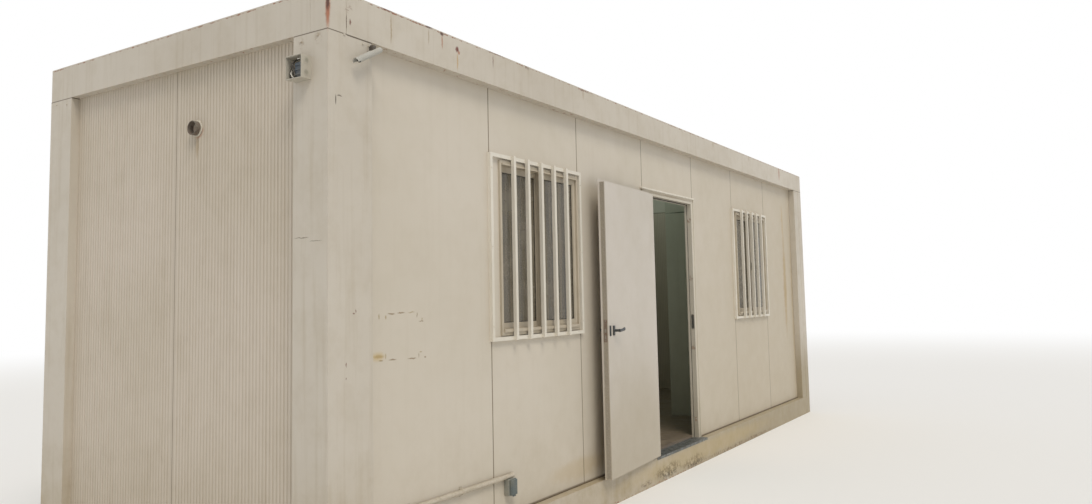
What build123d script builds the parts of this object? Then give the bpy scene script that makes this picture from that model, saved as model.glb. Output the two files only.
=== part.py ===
from build123d import *
import math
import os

# Portable site cabin, in millimetres.
# X runs along the long side, the door side faces -Y, Z is up.
# The origin is on the ground under the middle of the cabin.

os.makedirs("parts", exist_ok=True)

# Whole cabin: its length is what seven wall panels and two corner posts take up
panel_width = 1000
panel_count = 7
cabin_width = 2310
cabin_height = 2800

# Steel frame, folded from sheet
rail_height = 190
rail_flange = 150
rail_sheet = 4
post_long_leg = 275
post_end_leg = 220
post_sheet = 4
post_fold_step = 3
post_fold_place = 115
block_length = 113
block_wall = 6
block_edge = 3

# Sandwich panels
panel_thickness = 50
panel_gap = 2
panel_edge = 2
front_recess = 64
end_recess = 46
rib_pitch = 24
rib_groove = 10
rib_depth = 1.5

# Floor, ceiling and roof
floor_thickness = 20
ceiling_thickness = 50
member_flange = 60
member_sheet = 4
member_count = 11
purlin_height = 100
purlin_flange = 50
purlin_count = 8
purlin_sheet = 3
roof_sheet_drop = 45
roof_sheet_thickness = 1.5
roof_rib_height = 25
roof_rib_top = 60
roof_rib_foot = 110
roof_rib_pitch = 300

# Door
door_bay = 4
door_jamb = 41.5
door_opening_height = 2000
door_hinge_gap = 5.5
door_free_gap = 7
door_foot_gap = 7
door_head_gap = 6
door_core = 40
door_lip = 18
door_lip_sheet = 3
door_lip_gap = 5.5
door_open_angle = 176
frame_head = 40
frame_flange_sheet = 6
frame_lap = 10
frame_border = 12
frame_border_sheet = 4
frame_stop_width = 12
frame_stop_depth = 18
threshold_sheet = 3
threshold_lip = 16
threshold_side = 505

# Door hinges, lever handles and latch
hinge_pin_radius = 3
hinge_barrel_radius = 7
hinge_barrel_length = 40
hinge_face_gap = 0.5
hinge_running_gap = 0.2
hinge_stack_gap = 1
hinge_plate_sheet = 3
hinge_plate_width = 36
hinge_web = 3
hinge_end_distance = 220
handle_height = 975
handle_setback = 86
rose_width = 24
rose_height = 66
rose_round = 6
rose_thickness = 9
lever_neck_radius = 7
lever_height = 22
lever_thickness = 15
lever_reach = 48
lever_length = 92
key_bar_setback = 27
key_bar_width = 14
key_bar_height = 70
key_bar_thickness = 9
key_bar_round = 4.5
latch_plate_width = 24
latch_plate_height = 150
latch_plate_sheet = 1.5
latch_plate_round = 6

# Windows
window_bays = (2, 6)
window_left_margin = 95
window_right_margin = 25
window_height = 1000
window_foot = 1010
window_flange = 6
window_flange_sheet = 12
window_profile = 12
window_head_box = 8
window_sill = 18
window_sill_reach = 8
sash_profile = 28
sash_depth = 24
sash_bead = 6
sash_bead_depth = 3
glass_thickness = 5

# Window guards
guard_overlap = 15
guard_height = 1072
guard_foot = 975
guard_bar = 22
guard_bar_count = 5
guard_end_gap = 183

# Inner partition
partition_joint = 5
partition_thickness = 50
partition_side = 648
partition_door_width = 800
partition_door_height = 2040

# Fittings on the outside
conduit_radius = 13
conduit_clearance = 2
conduit_coupler_radius = 15
conduit_coupler_length = 70
conduit_saddle_width = 18
conduit_saddle_sheet = 1.5
conduit_saddle_height = 52
conduit_saddle_setback = 300
conduit_tail = 25
socket_box_width = 66
socket_box_height = 92
socket_box_depth = 36
socket_box_edge = 5
socket_cover_depth = 14
socket_cover_inset = 3
socket_cover_round = 10
socket_box_setback = 1129
socket_box_foot = 300
junction_width = 102
junction_height = 106
junction_depth = 58
junction_wall = 3
junction_drop = 217
junction_setback = 154
junction_knockout_radius = 15
junction_knockout_height = 1.5
camera_radius = 14
camera_length = 172
camera_tail = 48
camera_tilt = 30
camera_hood_sheet = 2.5
camera_hood_length = 115
camera_hood_lead = 14
camera_hood_side = 5
camera_stem_radius = 6.5
camera_reach = 34
camera_base_radius = 14
camera_base_height = 5
camera_setback = 255
camera_drop = 58
vent_radius = 36
vent_wall = 4
vent_reach = 32
vent_drop = 318
vent_place = -170

# Derived levels and planes
cabin_length = panel_count * panel_width + 2 * post_long_leg
half_length = cabin_length / 2
half_width = cabin_width / 2
base_top = rail_height
roof_base = cabin_height - rail_height
front_face = -half_width + front_recess
front_inner = front_face + panel_thickness
rear_face = half_width - front_recess
rear_inner = rear_face - panel_thickness
left_face = -half_length + end_recess
left_inner = left_face + panel_thickness
right_face = half_length - end_recess
right_inner = right_face - panel_thickness
wall_start = -half_length + post_long_leg
end_wall_half = half_width - post_end_leg
floor_top = base_top + floor_thickness
ceiling_base = roof_base - ceiling_thickness


def save(piece, node):
    """Label one finished piece and write its file."""
    piece.part.label = node
    export_step(piece.part, f"parts/{node}.step")


def slab(x_range, y_range, z_range):
    """A plain rectangular piece between six planes."""
    with BuildPart() as piece:
        with BuildSketch(Plane.XY.offset(z_range[0])):
            with Locations((sum(x_range) / 2, sum(y_range) / 2)):
                Rectangle(x_range[1] - x_range[0], y_range[1] - y_range[0])
        extrude(amount=z_range[1] - z_range[0])
    return piece


# Corner posts: a folded L-shaped box section, open at both ends
def corner_post(x_side, y_side):
    corner_x = x_side * half_length
    corner_y = y_side * half_width
    long_depth = front_recess + panel_thickness
    end_depth = end_recess + panel_thickness
    with BuildPart() as post:
        with BuildSketch(Plane.XY.offset(base_top)):
            with BuildLine():
                Polyline(
                    (corner_x, corner_y),
                    (corner_x - x_side * post_fold_place, corner_y),
                    (
                        corner_x - x_side * (post_fold_place + post_fold_step),
                        corner_y - y_side * post_fold_step,
                    ),
                    (corner_x - x_side * post_long_leg, corner_y - y_side * post_fold_step),
                    (corner_x - x_side * post_long_leg, corner_y - y_side * long_depth),
                    (corner_x - x_side * end_depth, corner_y - y_side * long_depth),
                    (corner_x - x_side * end_depth, corner_y - y_side * post_end_leg),
                    (corner_x, corner_y - y_side * post_end_leg),
                    close=True,
                )
            make_face()
            offset(amount=-post_sheet, mode=Mode.SUBTRACT)
        extrude(amount=roof_base - base_top)
    return post


for x_side, x_name in ((-1, "left"), (1, "right")):
    for y_side, y_name in ((-1, "front"), (1, "rear")):
        save(corner_post(x_side, y_side), f"corner_post_{y_name}_{x_name}")


# Rails: C sections open to the inside, between the corner blocks
def long_rail(y_side, foot):
    run = half_length - block_length
    with BuildPart() as rail:
        with BuildSketch(Plane.YZ.offset(-run)):
            with Locations((y_side * (half_width - rail_flange / 2), foot + rail_height / 2)):
                Rectangle(rail_flange, rail_height)
            with Locations((y_side * (half_width - rail_sheet - rail_flange / 2), foot + rail_height / 2)):
                Rectangle(rail_flange, rail_height - 2 * rail_sheet, mode=Mode.SUBTRACT)
        extrude(amount=2 * run)
    return rail


def end_rail(x_side, foot):
    run = half_width - block_length
    with BuildPart() as rail:
        with BuildSketch(Plane.XZ.offset(-run)):
            with Locations((x_side * (half_length - block_length / 2), foot + rail_height / 2)):
                Rectangle(block_length, rail_height)
            with Locations((x_side * (half_length - rail_sheet - block_length / 2), foot + rail_height / 2)):
                Rectangle(block_length, rail_height - 2 * rail_sheet, mode=Mode.SUBTRACT)
        extrude(amount=2 * run)
    return rail


for foot, level in ((0, "base"), (roof_base, "roof")):
    save(long_rail(-1, foot), f"{level}_rail_front")
    save(long_rail(1, foot), f"{level}_rail_rear")
    save(end_rail(-1, foot), f"{level}_rail_left")
    save(end_rail(1, foot), f"{level}_rail_right")


# Corner blocks: welded plate boxes that close the rails at the eight corners
def corner_blocks(foot):
    with BuildPart() as blocks:
        with BuildSketch(Plane.XY.offset(foot)):
            with GridLocations(cabin_length - block_length, cabin_width - block_length, 2, 2):
                Rectangle(block_length, block_length)
        extrude(amount=rail_height)
        chamfer(blocks.edges().filter_by(Axis.Z), length=block_edge)
        with BuildSketch(Plane.XY.offset(foot + block_wall)):
            with GridLocations(cabin_length - block_length, cabin_width - block_length, 2, 2):
                Rectangle(block_length - 2 * block_wall, block_length - 2 * block_wall)
        extrude(amount=rail_height - 2 * block_wall, mode=Mode.SUBTRACT)
    return blocks


save(corner_blocks(0), "base_corner_blocks")
save(corner_blocks(roof_base), "roof_corner_blocks")


# Floor cross members: C sections across the cabin, full depth between the rails,
# with a shallower tongue that runs into each rail
def cross_members():
    pitch = (cabin_length - 2 * block_length - 2 * member_flange) / (member_count - 1)
    spans = (
        (half_width - rail_flange, rail_height),
        (half_width - rail_sheet, rail_height - 2 * rail_sheet),
    )
    with BuildPart() as members:
        for run, depth in spans:
            with BuildSketch(Plane.XZ.offset(-run)):
                with Locations((0, rail_height / 2)):
                    with GridLocations(pitch, 0, member_count, 1):
                        Rectangle(member_flange, depth)
                with Locations((member_sheet, rail_height / 2)):
                    with GridLocations(pitch, 0, member_count, 1):
                        Rectangle(
                            member_flange,
                            rail_height - 2 * rail_sheet - 2 * member_sheet,
                            mode=Mode.SUBTRACT,
                        )
            extrude(amount=2 * run)
    return members


save(cross_members(), "floor_cross_members")


# Roof purlins: C sections that carry the roof sheet
purlin_top = cabin_height - roof_sheet_drop


def purlins():
    run = half_width - rail_sheet
    reach = cabin_length - 2 * block_length - 2 * purlin_flange
    with BuildPart() as members:
        with BuildSketch(Plane.XZ.offset(-run)):
            with Locations((0, purlin_top - purlin_height / 2)):
                with GridLocations(reach / (purlin_count - 1), 0, purlin_count, 1):
                    Rectangle(purlin_flange, purlin_height)
            with Locations((purlin_sheet, purlin_top - purlin_height / 2)):
                with GridLocations(reach / (purlin_count - 1), 0, purlin_count, 1):
                    Rectangle(purlin_flange, purlin_height - 2 * purlin_sheet, mode=Mode.SUBTRACT)
        extrude(amount=2 * run)
    return members


save(purlins(), "roof_purlins")


# Roof sheet: trapezoidal steel sheet, its ribs across the cabin
def roof_sheet():
    edge_x = half_length - rail_sheet
    edge_y = half_width - rail_sheet
    rib_count = int((2 * edge_x - roof_rib_pitch) // roof_rib_pitch)
    first = -roof_rib_pitch * (rib_count - 1) / 2
    upper = [(-edge_x, purlin_top + roof_sheet_thickness)]
    for index in range(rib_count):
        centre = first + index * roof_rib_pitch
        upper.append((centre - roof_rib_foot / 2, purlin_top + roof_sheet_thickness))
        upper.append((centre - roof_rib_top / 2, purlin_top + roof_sheet_thickness + roof_rib_height))
        upper.append((centre + roof_rib_top / 2, purlin_top + roof_sheet_thickness + roof_rib_height))
        upper.append((centre + roof_rib_foot / 2, purlin_top + roof_sheet_thickness))
    upper.append((edge_x, purlin_top + roof_sheet_thickness))
    lower = [(x, z - roof_sheet_thickness) for x, z in reversed(upper)]
    with BuildPart() as sheet:
        with BuildSketch(Plane.XZ.offset(-edge_y)):
            with BuildLine():
                Polyline(*upper, *lower, close=True)
            make_face()
        extrude(amount=2 * edge_y)
        with BuildSketch(Plane.XY.offset(purlin_top)):
            with GridLocations(cabin_length - block_length, cabin_width - block_length, 2, 2):
                Rectangle(block_length, block_length)
        extrude(amount=roof_sheet_drop, mode=Mode.SUBTRACT)
    return sheet


save(roof_sheet(), "roof_sheet")

# Floor deck and ceiling panel, both inside the walls
inside_x = (left_inner, right_inner)
inside_y = (front_inner, rear_inner)
save(slab(inside_x, inside_y, (base_top, floor_top)), "floor_deck")
save(slab(inside_x, inside_y, (ceiling_base, roof_base)), "ceiling_panel")


# Wall panels of the long sides: flat sandwich panels with eased vertical edges
def window_x(index):
    """X range of the window opening in one wall panel."""
    start = wall_start + (index - 1) * panel_width
    return (start + window_left_margin, start + panel_width - window_right_margin)


def long_panel(x_range, face, inner, z_range, window=None):
    low_y, high_y = sorted((face, inner))
    with BuildPart() as panel:
        with BuildSketch(Plane.XY.offset(z_range[0])):
            with Locations((sum(x_range) / 2, (low_y + high_y) / 2)):
                Rectangle(x_range[1] - x_range[0], high_y - low_y)
        extrude(amount=z_range[1] - z_range[0])
        chamfer(panel.edges().filter_by(Axis.Z), length=panel_edge)
        if window:
            with BuildSketch(Plane.XZ.offset(-high_y)):
                with Locations((sum(window) / 2, sum(window_z) / 2)):
                    Rectangle(window[1] - window[0], window_height)
            extrude(amount=panel_thickness, mode=Mode.SUBTRACT)
    return panel


def bay(index):
    """X range of one wall panel, numbered 1 to 7 from the left."""
    start = wall_start + (index - 1) * panel_width
    return (start + panel_gap / 2, start + panel_width - panel_gap / 2)


wall_z = (base_top, roof_base)
window_z = (base_top + window_foot, base_top + window_foot + window_height)
door_centre = sum(bay(door_bay)) / 2
door_head = base_top + door_opening_height
frame_head_top = door_head + frame_head

for index in range(1, panel_count + 1):
    if index == door_bay:
        panel = long_panel(bay(index), front_face, front_inner, (frame_head_top, roof_base))
        save(panel, "front_panel_over_door")
        continue
    window = window_x(index) if index in window_bays else None
    panel = long_panel(bay(index), front_face, front_inner, wall_z, window)
    save(panel, f"front_panel_{index}")

# Rear wall: the same panels, all plain
with BuildPart() as rear_wall:
    for index in range(1, panel_count + 1):
        add(long_panel(bay(index), rear_face, rear_inner, wall_z).part)
save(rear_wall, "rear_wall_panels")


# End walls: two panels each, rolled with fine upright grooves outside
def end_wall(side, face, inner):
    low_x, high_x = sorted((face, inner))
    panel_run = end_wall_half - panel_gap / 2
    groove_count = int((panel_run - rib_pitch) // rib_pitch)
    with BuildPart() as wall:
        with BuildSketch(Plane.XY.offset(base_top)):
            for half in (-1, 1):
                with Locations(((low_x + high_x) / 2, half * (panel_gap + panel_run) / 2)):
                    Rectangle(high_x - low_x, panel_run)
                with Locations((face, half * (panel_gap + panel_run) / 2)):
                    with GridLocations(0, rib_pitch, 1, groove_count):
                        Rectangle(2 * rib_depth, rib_groove, mode=Mode.SUBTRACT)
        extrude(amount=roof_base - base_top)
    return wall


save(end_wall(-1, left_face, left_inner), "left_end_wall")
save(end_wall(1, right_face, right_inner), "right_end_wall")


# Door frame: folded steel jambs and head, lapped over the panels outside
jamb_outer = (panel_width + panel_gap) / 2
opening_half = jamb_outer - door_jamb
frame_front = front_face - frame_flange_sheet
frame_stop_front = front_inner - frame_stop_depth
frame_border_front = frame_front - frame_border_sheet


frame_rings = (
    (0, 0, front_face, front_inner),
    (frame_lap, 0, frame_front, front_face),
    (frame_lap, jamb_outer + frame_lap - frame_border - opening_half, frame_border_front, frame_front),
    (0, -frame_stop_width, frame_stop_front, front_inner),
)

with BuildPart() as door_frame:
    for lap, step, low_y, high_y in frame_rings:
        with BuildSketch(Plane.XZ.offset(-high_y)):
            with Locations((door_centre, (base_top + frame_head_top + lap) / 2)):
                Rectangle(2 * (jamb_outer + lap), frame_head_top + lap - base_top)
            with Locations((door_centre, (base_top + door_head + step) / 2)):
                Rectangle(2 * (opening_half + step), door_head + step - base_top, mode=Mode.SUBTRACT)
        extrude(amount=high_y - low_y)
save(door_frame, "door_frame")

# Threshold: a folded strip on the base rail, its lip turned down over the rail
threshold_strips = (
    (threshold_side, frame_border_front),
    (opening_half, frame_stop_front),
    (opening_half - frame_stop_width, front_inner),
)
with BuildPart() as door_threshold:
    with BuildSketch(Plane.XY.offset(base_top)):
        for half_run, back_y in threshold_strips:
            with Locations((door_centre, (back_y - half_width) / 2)):
                Rectangle(2 * half_run, back_y + half_width)
    extrude(amount=threshold_sheet)
    with BuildSketch(Plane.XY.offset(base_top - threshold_lip)):
        with Locations((door_centre, -half_width - threshold_sheet / 2)):
            Rectangle(2 * threshold_side, threshold_sheet)
    extrude(amount=threshold_lip + threshold_sheet)
save(door_threshold, "door_threshold")

# Door leaf: drawn shut, then turned about its hinge pin to the open rest place
leaf_front = frame_front - door_lip_gap - door_lip_sheet
leaf_back = leaf_front + door_lip_sheet + door_core
leaf_hinge_edge = door_centre - opening_half + door_hinge_gap
leaf_free_edge = door_centre + opening_half - door_free_gap
leaf_foot = base_top + threshold_sheet + door_foot_gap
leaf_head = door_head - door_head_gap
pin_x = door_centre - opening_half
pin_y = leaf_front - hinge_face_gap - hinge_barrel_radius
pin_axis = Axis((pin_x, pin_y, 0), (0, 0, 1))


def save_open(piece, node):
    """Turn a piece of the leaf from shut to open, label it and write it."""
    opened = piece.part.rotate(pin_axis, -door_open_angle)
    opened.label = node
    export_step(opened, f"parts/{node}.step")


with BuildPart() as door_leaf:
    with BuildSketch(Plane.XZ.offset(-leaf_back)):
        with Locations(((leaf_hinge_edge + leaf_free_edge) / 2, (leaf_foot + leaf_head) / 2)):
            Rectangle(leaf_free_edge - leaf_hinge_edge, leaf_head - leaf_foot)
    extrude(amount=door_core)
    with BuildSketch(Plane.XZ.offset(-leaf_front - door_lip_sheet)):
        with Locations(
            ((leaf_hinge_edge + leaf_free_edge + door_lip) / 2, (leaf_foot + leaf_head + door_lip) / 2)
        ):
            Rectangle(leaf_free_edge + door_lip - leaf_hinge_edge, leaf_head + door_lip - leaf_foot)
    extrude(amount=door_lip_sheet)
save_open(door_leaf, "door_leaf")

# Hinges: fixed barrel with its pin below, turning barrel above
hinge_feet = (
    leaf_foot + hinge_end_distance,
    (leaf_foot + leaf_head) / 2,
    leaf_head - hinge_end_distance,
)
turning_lift = hinge_barrel_length + hinge_stack_gap

with BuildPart() as hinge_posts:
    for foot in hinge_feet:
        with BuildSketch(Plane.XY.offset(foot)):
            with Locations((pin_x, pin_y)):
                Circle(hinge_barrel_radius)
            with Locations((pin_x - hinge_plate_width / 2, frame_front - hinge_plate_sheet / 2)):
                Rectangle(hinge_plate_width, hinge_plate_sheet)
            with Locations((pin_x - hinge_barrel_radius + hinge_web / 2, (pin_y + frame_front) / 2)):
                Rectangle(hinge_web, frame_front - pin_y)
        extrude(amount=hinge_barrel_length)
        with BuildSketch(Plane.XY.offset(foot)):
            with Locations((pin_x, pin_y)):
                Circle(hinge_pin_radius)
        extrude(amount=turning_lift + hinge_barrel_length)
save(hinge_posts, "door_hinge_posts")

with BuildPart() as hinge_flags:
    for foot in hinge_feet:
        with BuildSketch(Plane.XY.offset(foot + turning_lift)):
            with Locations((pin_x, pin_y)):
                Circle(hinge_barrel_radius)
            with Locations((pin_x + hinge_plate_width / 2, leaf_front - hinge_plate_sheet / 2)):
                Rectangle(hinge_plate_width, hinge_plate_sheet)
            with Locations((pin_x, pin_y)):
                Circle(hinge_pin_radius + hinge_running_gap, mode=Mode.SUBTRACT)
        extrude(amount=hinge_barrel_length)
save_open(hinge_flags, "door_hinge_flags")

# Lever handles: an upright rose plate, a neck and a lever on each face, with a key bar inside
handle_x = leaf_free_edge - handle_setback
handle_z = leaf_foot + handle_height


with BuildPart() as door_handles:
    for face_y, outward in ((leaf_front, -1), (leaf_back, 1)):
        with BuildSketch(Plane.XZ.offset(-face_y)):
            with Locations((handle_x, handle_z)):
                RectangleRounded(rose_width, rose_height, rose_round)
        extrude(amount=-outward * rose_thickness)
        with BuildSketch(Plane.XZ.offset(-face_y)):
            with Locations((handle_x, handle_z)):
                Circle(lever_neck_radius)
        extrude(amount=-outward * lever_reach)
        with BuildSketch(Plane.YZ.offset(handle_x - lever_length)):
            with Locations((face_y + outward * lever_reach, handle_z)):
                Ellipse(lever_thickness / 2, lever_height / 2)
        extrude(amount=lever_length + lever_height / 2)
    with BuildSketch(Plane.XZ.offset(-leaf_back)):
        with Locations((leaf_free_edge - key_bar_setback, handle_z)):
            RectangleRounded(key_bar_width, key_bar_height, key_bar_round)
    extrude(amount=-key_bar_thickness)
save_open(door_handles, "door_handles")

with BuildPart() as latch_plate:
    with BuildSketch(Plane.YZ.offset(leaf_free_edge)):
        with Locations((leaf_back - door_core / 2, handle_z)):
            RectangleRounded(latch_plate_width, latch_plate_height, latch_plate_round)
    extrude(amount=latch_plate_sheet)
save_open(latch_plate, "door_latch_plate")


# Windows: fixed frame with a box over it and a sill under it, two sliding sashes
sash_z = (
    window_z[0] + window_profile + window_sill,
    window_z[1] - window_profile - window_head_box,
)
sash_height = sash_z[1] - sash_z[0]
window_width = panel_width - window_left_margin - window_right_margin
track_width = window_width - 2 * window_profile
sash_width = (track_width + sash_profile) / 2


def window_frame(centre):
    layers = (
        (window_width, window_height, front_inner, panel_thickness),
        (
            window_width + 2 * window_flange,
            window_height + 2 * window_flange,
            front_face,
            window_flange_sheet,
        ),
    )
    with BuildPart() as frame:
        for width, height, back_y, depth in layers:
            with BuildSketch(Plane.XZ.offset(-back_y)):
                with Locations((centre, sum(window_z) / 2)):
                    Rectangle(width, height)
                with Locations((centre, sum(sash_z) / 2)):
                    Rectangle(track_width, sash_height, mode=Mode.SUBTRACT)
            extrude(amount=depth)
        with BuildSketch(Plane.XZ.offset(window_flange_sheet - front_face)):
            with Locations((centre, sash_z[0] - window_sill / 2)):
                Rectangle(track_width, window_sill)
            with Locations((centre, sash_z[1] + window_head_box / 2)):
                Rectangle(track_width, window_head_box)
        extrude(amount=window_sill_reach)
    return frame


for index, side in zip(window_bays, ("left", "right")):
    save(window_frame(sum(window_x(index)) / 2), f"window_frame_{side}")

outer_track = front_face + sash_depth / 2
inner_track = front_inner - sash_depth / 2
sash_places = [
    (sum(window_x(index)) / 2 + shift * (track_width - sash_width) / 2, track)
    for index in window_bays
    for shift, track in ((-1, inner_track), (1, outer_track))
]

with BuildPart() as window_sashes:
    for centre, track in sash_places:
        steps = (
            (sash_profile, track - sash_depth / 2, track + sash_depth / 2),
            (sash_profile + sash_bead, track - sash_depth / 2 + sash_bead_depth, track - glass_thickness / 2),
        )
        for profile, front_y, back_y in steps:
            with BuildSketch(Plane.XZ.offset(-back_y)):
                with Locations((centre, sum(sash_z) / 2)):
                    Rectangle(sash_width, sash_height)
                    Rectangle(sash_width - 2 * profile, sash_height - 2 * profile, mode=Mode.SUBTRACT)
            extrude(amount=back_y - front_y)
save(window_sashes, "window_sashes")

with BuildPart() as window_glass:
    for centre, track in sash_places:
        with BuildSketch(Plane.XZ.offset(-track - glass_thickness / 2)):
            with Locations((centre, sum(sash_z) / 2)):
                Rectangle(sash_width - 2 * sash_profile, sash_height - 2 * sash_profile)
        extrude(amount=glass_thickness)
save(window_glass, "window_glass")


# Window guards: a square-bar frame on the wall with upright bars on its front
guard_width = panel_width + 2 * guard_overlap
guard_pitch = (guard_width - 2 * guard_bar - 2 * guard_end_gap - guard_bar) / (guard_bar_count - 1)


def window_guard(centre):
    middle = base_top + guard_foot + guard_height / 2
    with BuildPart() as guard:
        with BuildSketch(Plane.XZ.offset(-front_face)):
            with Locations((centre, middle)):
                Rectangle(guard_width, guard_height)
                Rectangle(guard_width - 2 * guard_bar, guard_height - 2 * guard_bar, mode=Mode.SUBTRACT)
        extrude(amount=guard_bar)
        with BuildSketch(Plane.XZ.offset(guard_bar - front_face)):
            with Locations((centre, middle)):
                with GridLocations(guard_pitch, 0, guard_bar_count, 1):
                    Rectangle(guard_bar, guard_height)
        extrude(amount=guard_bar)
    return guard


for index, side in zip(window_bays, ("left", "right")):
    save(window_guard(sum(bay(index)) / 2), f"window_guard_{side}")

# Inner partition: full-height sides with a panel over the doorway between them
partition_place = wall_start + partition_joint * panel_width
partition_x = (partition_place, partition_place + partition_thickness)
partition_door_y = (front_inner + partition_side, front_inner + partition_side + partition_door_width)
partition_z = (floor_top, ceiling_base)
with BuildPart() as partition_sides:
    add(slab(partition_x, (front_inner, partition_door_y[0]), partition_z).part)
    add(slab(partition_x, (partition_door_y[1], rear_inner), partition_z).part)
save(partition_sides, "inner_partition_sides")
save(
    slab(partition_x, partition_door_y, (floor_top + partition_door_height, ceiling_base)),
    "inner_partition_head",
)

# Socket box: a square body on the wall with a domed cover on its front
socket_place = wall_start + socket_box_setback
socket_middle = socket_box_foot + socket_box_height / 2
with BuildPart() as socket_box:
    with BuildSketch(Plane.XZ.offset(-front_face)):
        with Locations((socket_place, socket_middle)):
            RectangleRounded(socket_box_width, socket_box_height, socket_box_edge)
    extrude(amount=socket_box_depth)
    with BuildSketch(Plane.XZ.offset(socket_box_depth - front_face)):
        with Locations((socket_place, socket_middle)):
            RectangleRounded(
                socket_box_width - 2 * socket_cover_inset,
                socket_box_height - 2 * socket_cover_inset,
                socket_box_edge,
            )
    extrude(amount=socket_cover_depth)
    fillet(socket_box.faces().sort_by(Axis.Y)[0].edges(), radius=socket_cover_round)
save(socket_box, "socket_box")

# Conduit: a pipe along the wall from the corner post to just past the socket box,
# with a coupler over the panel joint and saddles that hold it to the wall
conduit_y = front_face - conduit_radius - conduit_clearance
conduit_height = socket_box_foot + socket_box_height + conduit_radius
saddle_places = (wall_start + conduit_saddle_setback, wall_start + panel_width - conduit_saddle_setback)
with BuildPart() as wall_conduit:
    with BuildSketch(Plane.YZ.offset(wall_start)):
        with Locations((conduit_y, conduit_height)):
            Circle(conduit_radius)
    extrude(amount=socket_box_setback + conduit_tail)
    with BuildSketch(Plane.YZ.offset(wall_start + panel_width - conduit_coupler_length / 2)):
        with Locations((conduit_y, conduit_height)):
            Circle(conduit_coupler_radius)
    extrude(amount=conduit_coupler_length)
    for place in saddle_places:
        with BuildSketch(Plane.YZ.offset(place - conduit_saddle_width / 2)):
            with Locations((conduit_y, conduit_height)):
                Circle(conduit_radius + conduit_saddle_sheet)
            with Locations((front_face - conduit_saddle_sheet, conduit_height)):
                Rectangle(2 * conduit_saddle_sheet, conduit_saddle_height)
            with Locations(((front_face + conduit_y) / 2, conduit_height)):
                Rectangle(front_face - conduit_y, 2 * (conduit_radius + conduit_saddle_sheet))
        extrude(amount=conduit_saddle_width)
save(wall_conduit, "wall_conduit")

# Junction box: an open-fronted box on the end face of the near corner post,
# with round knock-outs on its outer side
junction_place = junction_setback - half_width
junction_middle = roof_base - junction_drop + junction_height / 2
with BuildPart() as junction_box:
    with BuildSketch(Plane.YZ.offset(-half_length)):
        with Locations((junction_place, junction_middle)):
            Rectangle(junction_width, junction_height)
    extrude(amount=-junction_depth)
    with BuildSketch(Plane.YZ.offset(-half_length - junction_wall)):
        with Locations((junction_place, junction_middle)):
            Rectangle(junction_width - 2 * junction_wall, junction_height - 2 * junction_wall)
    extrude(amount=-junction_depth, mode=Mode.SUBTRACT)
    with BuildSketch(Plane.XZ.offset(junction_width / 2 - junction_place)):
        with Locations((-half_length - junction_depth / 2, junction_middle)):
            with GridLocations(0, junction_height / 2, 1, 2):
                Circle(junction_knockout_radius)
    extrude(amount=junction_knockout_height)
save(junction_box, "junction_box")

# Watch camera: a hooded tube on a short stem on the face of the near corner post
camera_place = camera_setback - half_length
camera_height = roof_base - camera_drop
camera_foot_y = -half_width + post_fold_step
camera_pivot = (camera_place, -half_width - camera_reach, camera_height)
camera_aim = Plane(
    origin=camera_pivot,
    x_dir=(0, 1, 0),
    z_dir=(-math.cos(math.radians(camera_tilt)), 0, -math.sin(math.radians(camera_tilt))),
)
with BuildPart() as watch_camera:
    for radius, reach in (
        (camera_base_radius, camera_base_height),
        (camera_stem_radius, camera_reach),
    ):
        with BuildSketch(Plane.XZ.offset(-camera_foot_y)):
            with Locations((camera_place, camera_height)):
                Circle(radius)
        extrude(amount=reach)
    with BuildSketch(camera_aim.offset(-camera_tail)):
        Circle(camera_radius)
    extrude(amount=camera_length)
    with BuildSketch(camera_aim.offset(camera_length - camera_tail + camera_hood_lead)):
        Circle(camera_radius + camera_hood_sheet)
        Circle(camera_radius, mode=Mode.SUBTRACT)
        with Locations((0, camera_radius + camera_hood_side)):
            Rectangle(2 * camera_radius + 2 * camera_hood_sheet, 2 * camera_radius, mode=Mode.SUBTRACT)
    extrude(amount=-camera_hood_length)
save(watch_camera, "watch_camera")

# Vent stub: a short open pipe in the left end wall
vent_height = roof_base - vent_drop
with BuildPart() as vent_stub:
    with BuildSketch(Plane.YZ.offset(left_face)):
        with Locations((vent_place, vent_height)):
            Circle(vent_radius)
            Circle(vent_radius - vent_wall, mode=Mode.SUBTRACT)
    extrude(amount=-vent_reach)
save(vent_stub, "vent_stub")
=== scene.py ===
"""Portable site cabin: cream enamelled steel frame, coated sandwich panels, open door, two barred windows."""

import math

import bpy
from mathutils import Matrix, Vector


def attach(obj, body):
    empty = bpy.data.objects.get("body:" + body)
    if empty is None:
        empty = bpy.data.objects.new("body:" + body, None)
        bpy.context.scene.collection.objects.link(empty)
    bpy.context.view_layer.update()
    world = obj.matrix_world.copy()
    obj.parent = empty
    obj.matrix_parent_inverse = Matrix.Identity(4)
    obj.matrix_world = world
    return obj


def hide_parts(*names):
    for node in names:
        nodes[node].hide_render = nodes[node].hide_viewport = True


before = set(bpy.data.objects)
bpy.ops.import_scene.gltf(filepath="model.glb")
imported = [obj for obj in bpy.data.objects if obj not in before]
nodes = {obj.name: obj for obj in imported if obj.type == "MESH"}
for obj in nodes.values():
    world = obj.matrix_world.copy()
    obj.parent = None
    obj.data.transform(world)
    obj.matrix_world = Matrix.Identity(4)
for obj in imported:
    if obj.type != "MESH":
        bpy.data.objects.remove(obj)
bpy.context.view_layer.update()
bpy.ops.object.select_all(action="DESELECT")


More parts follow.
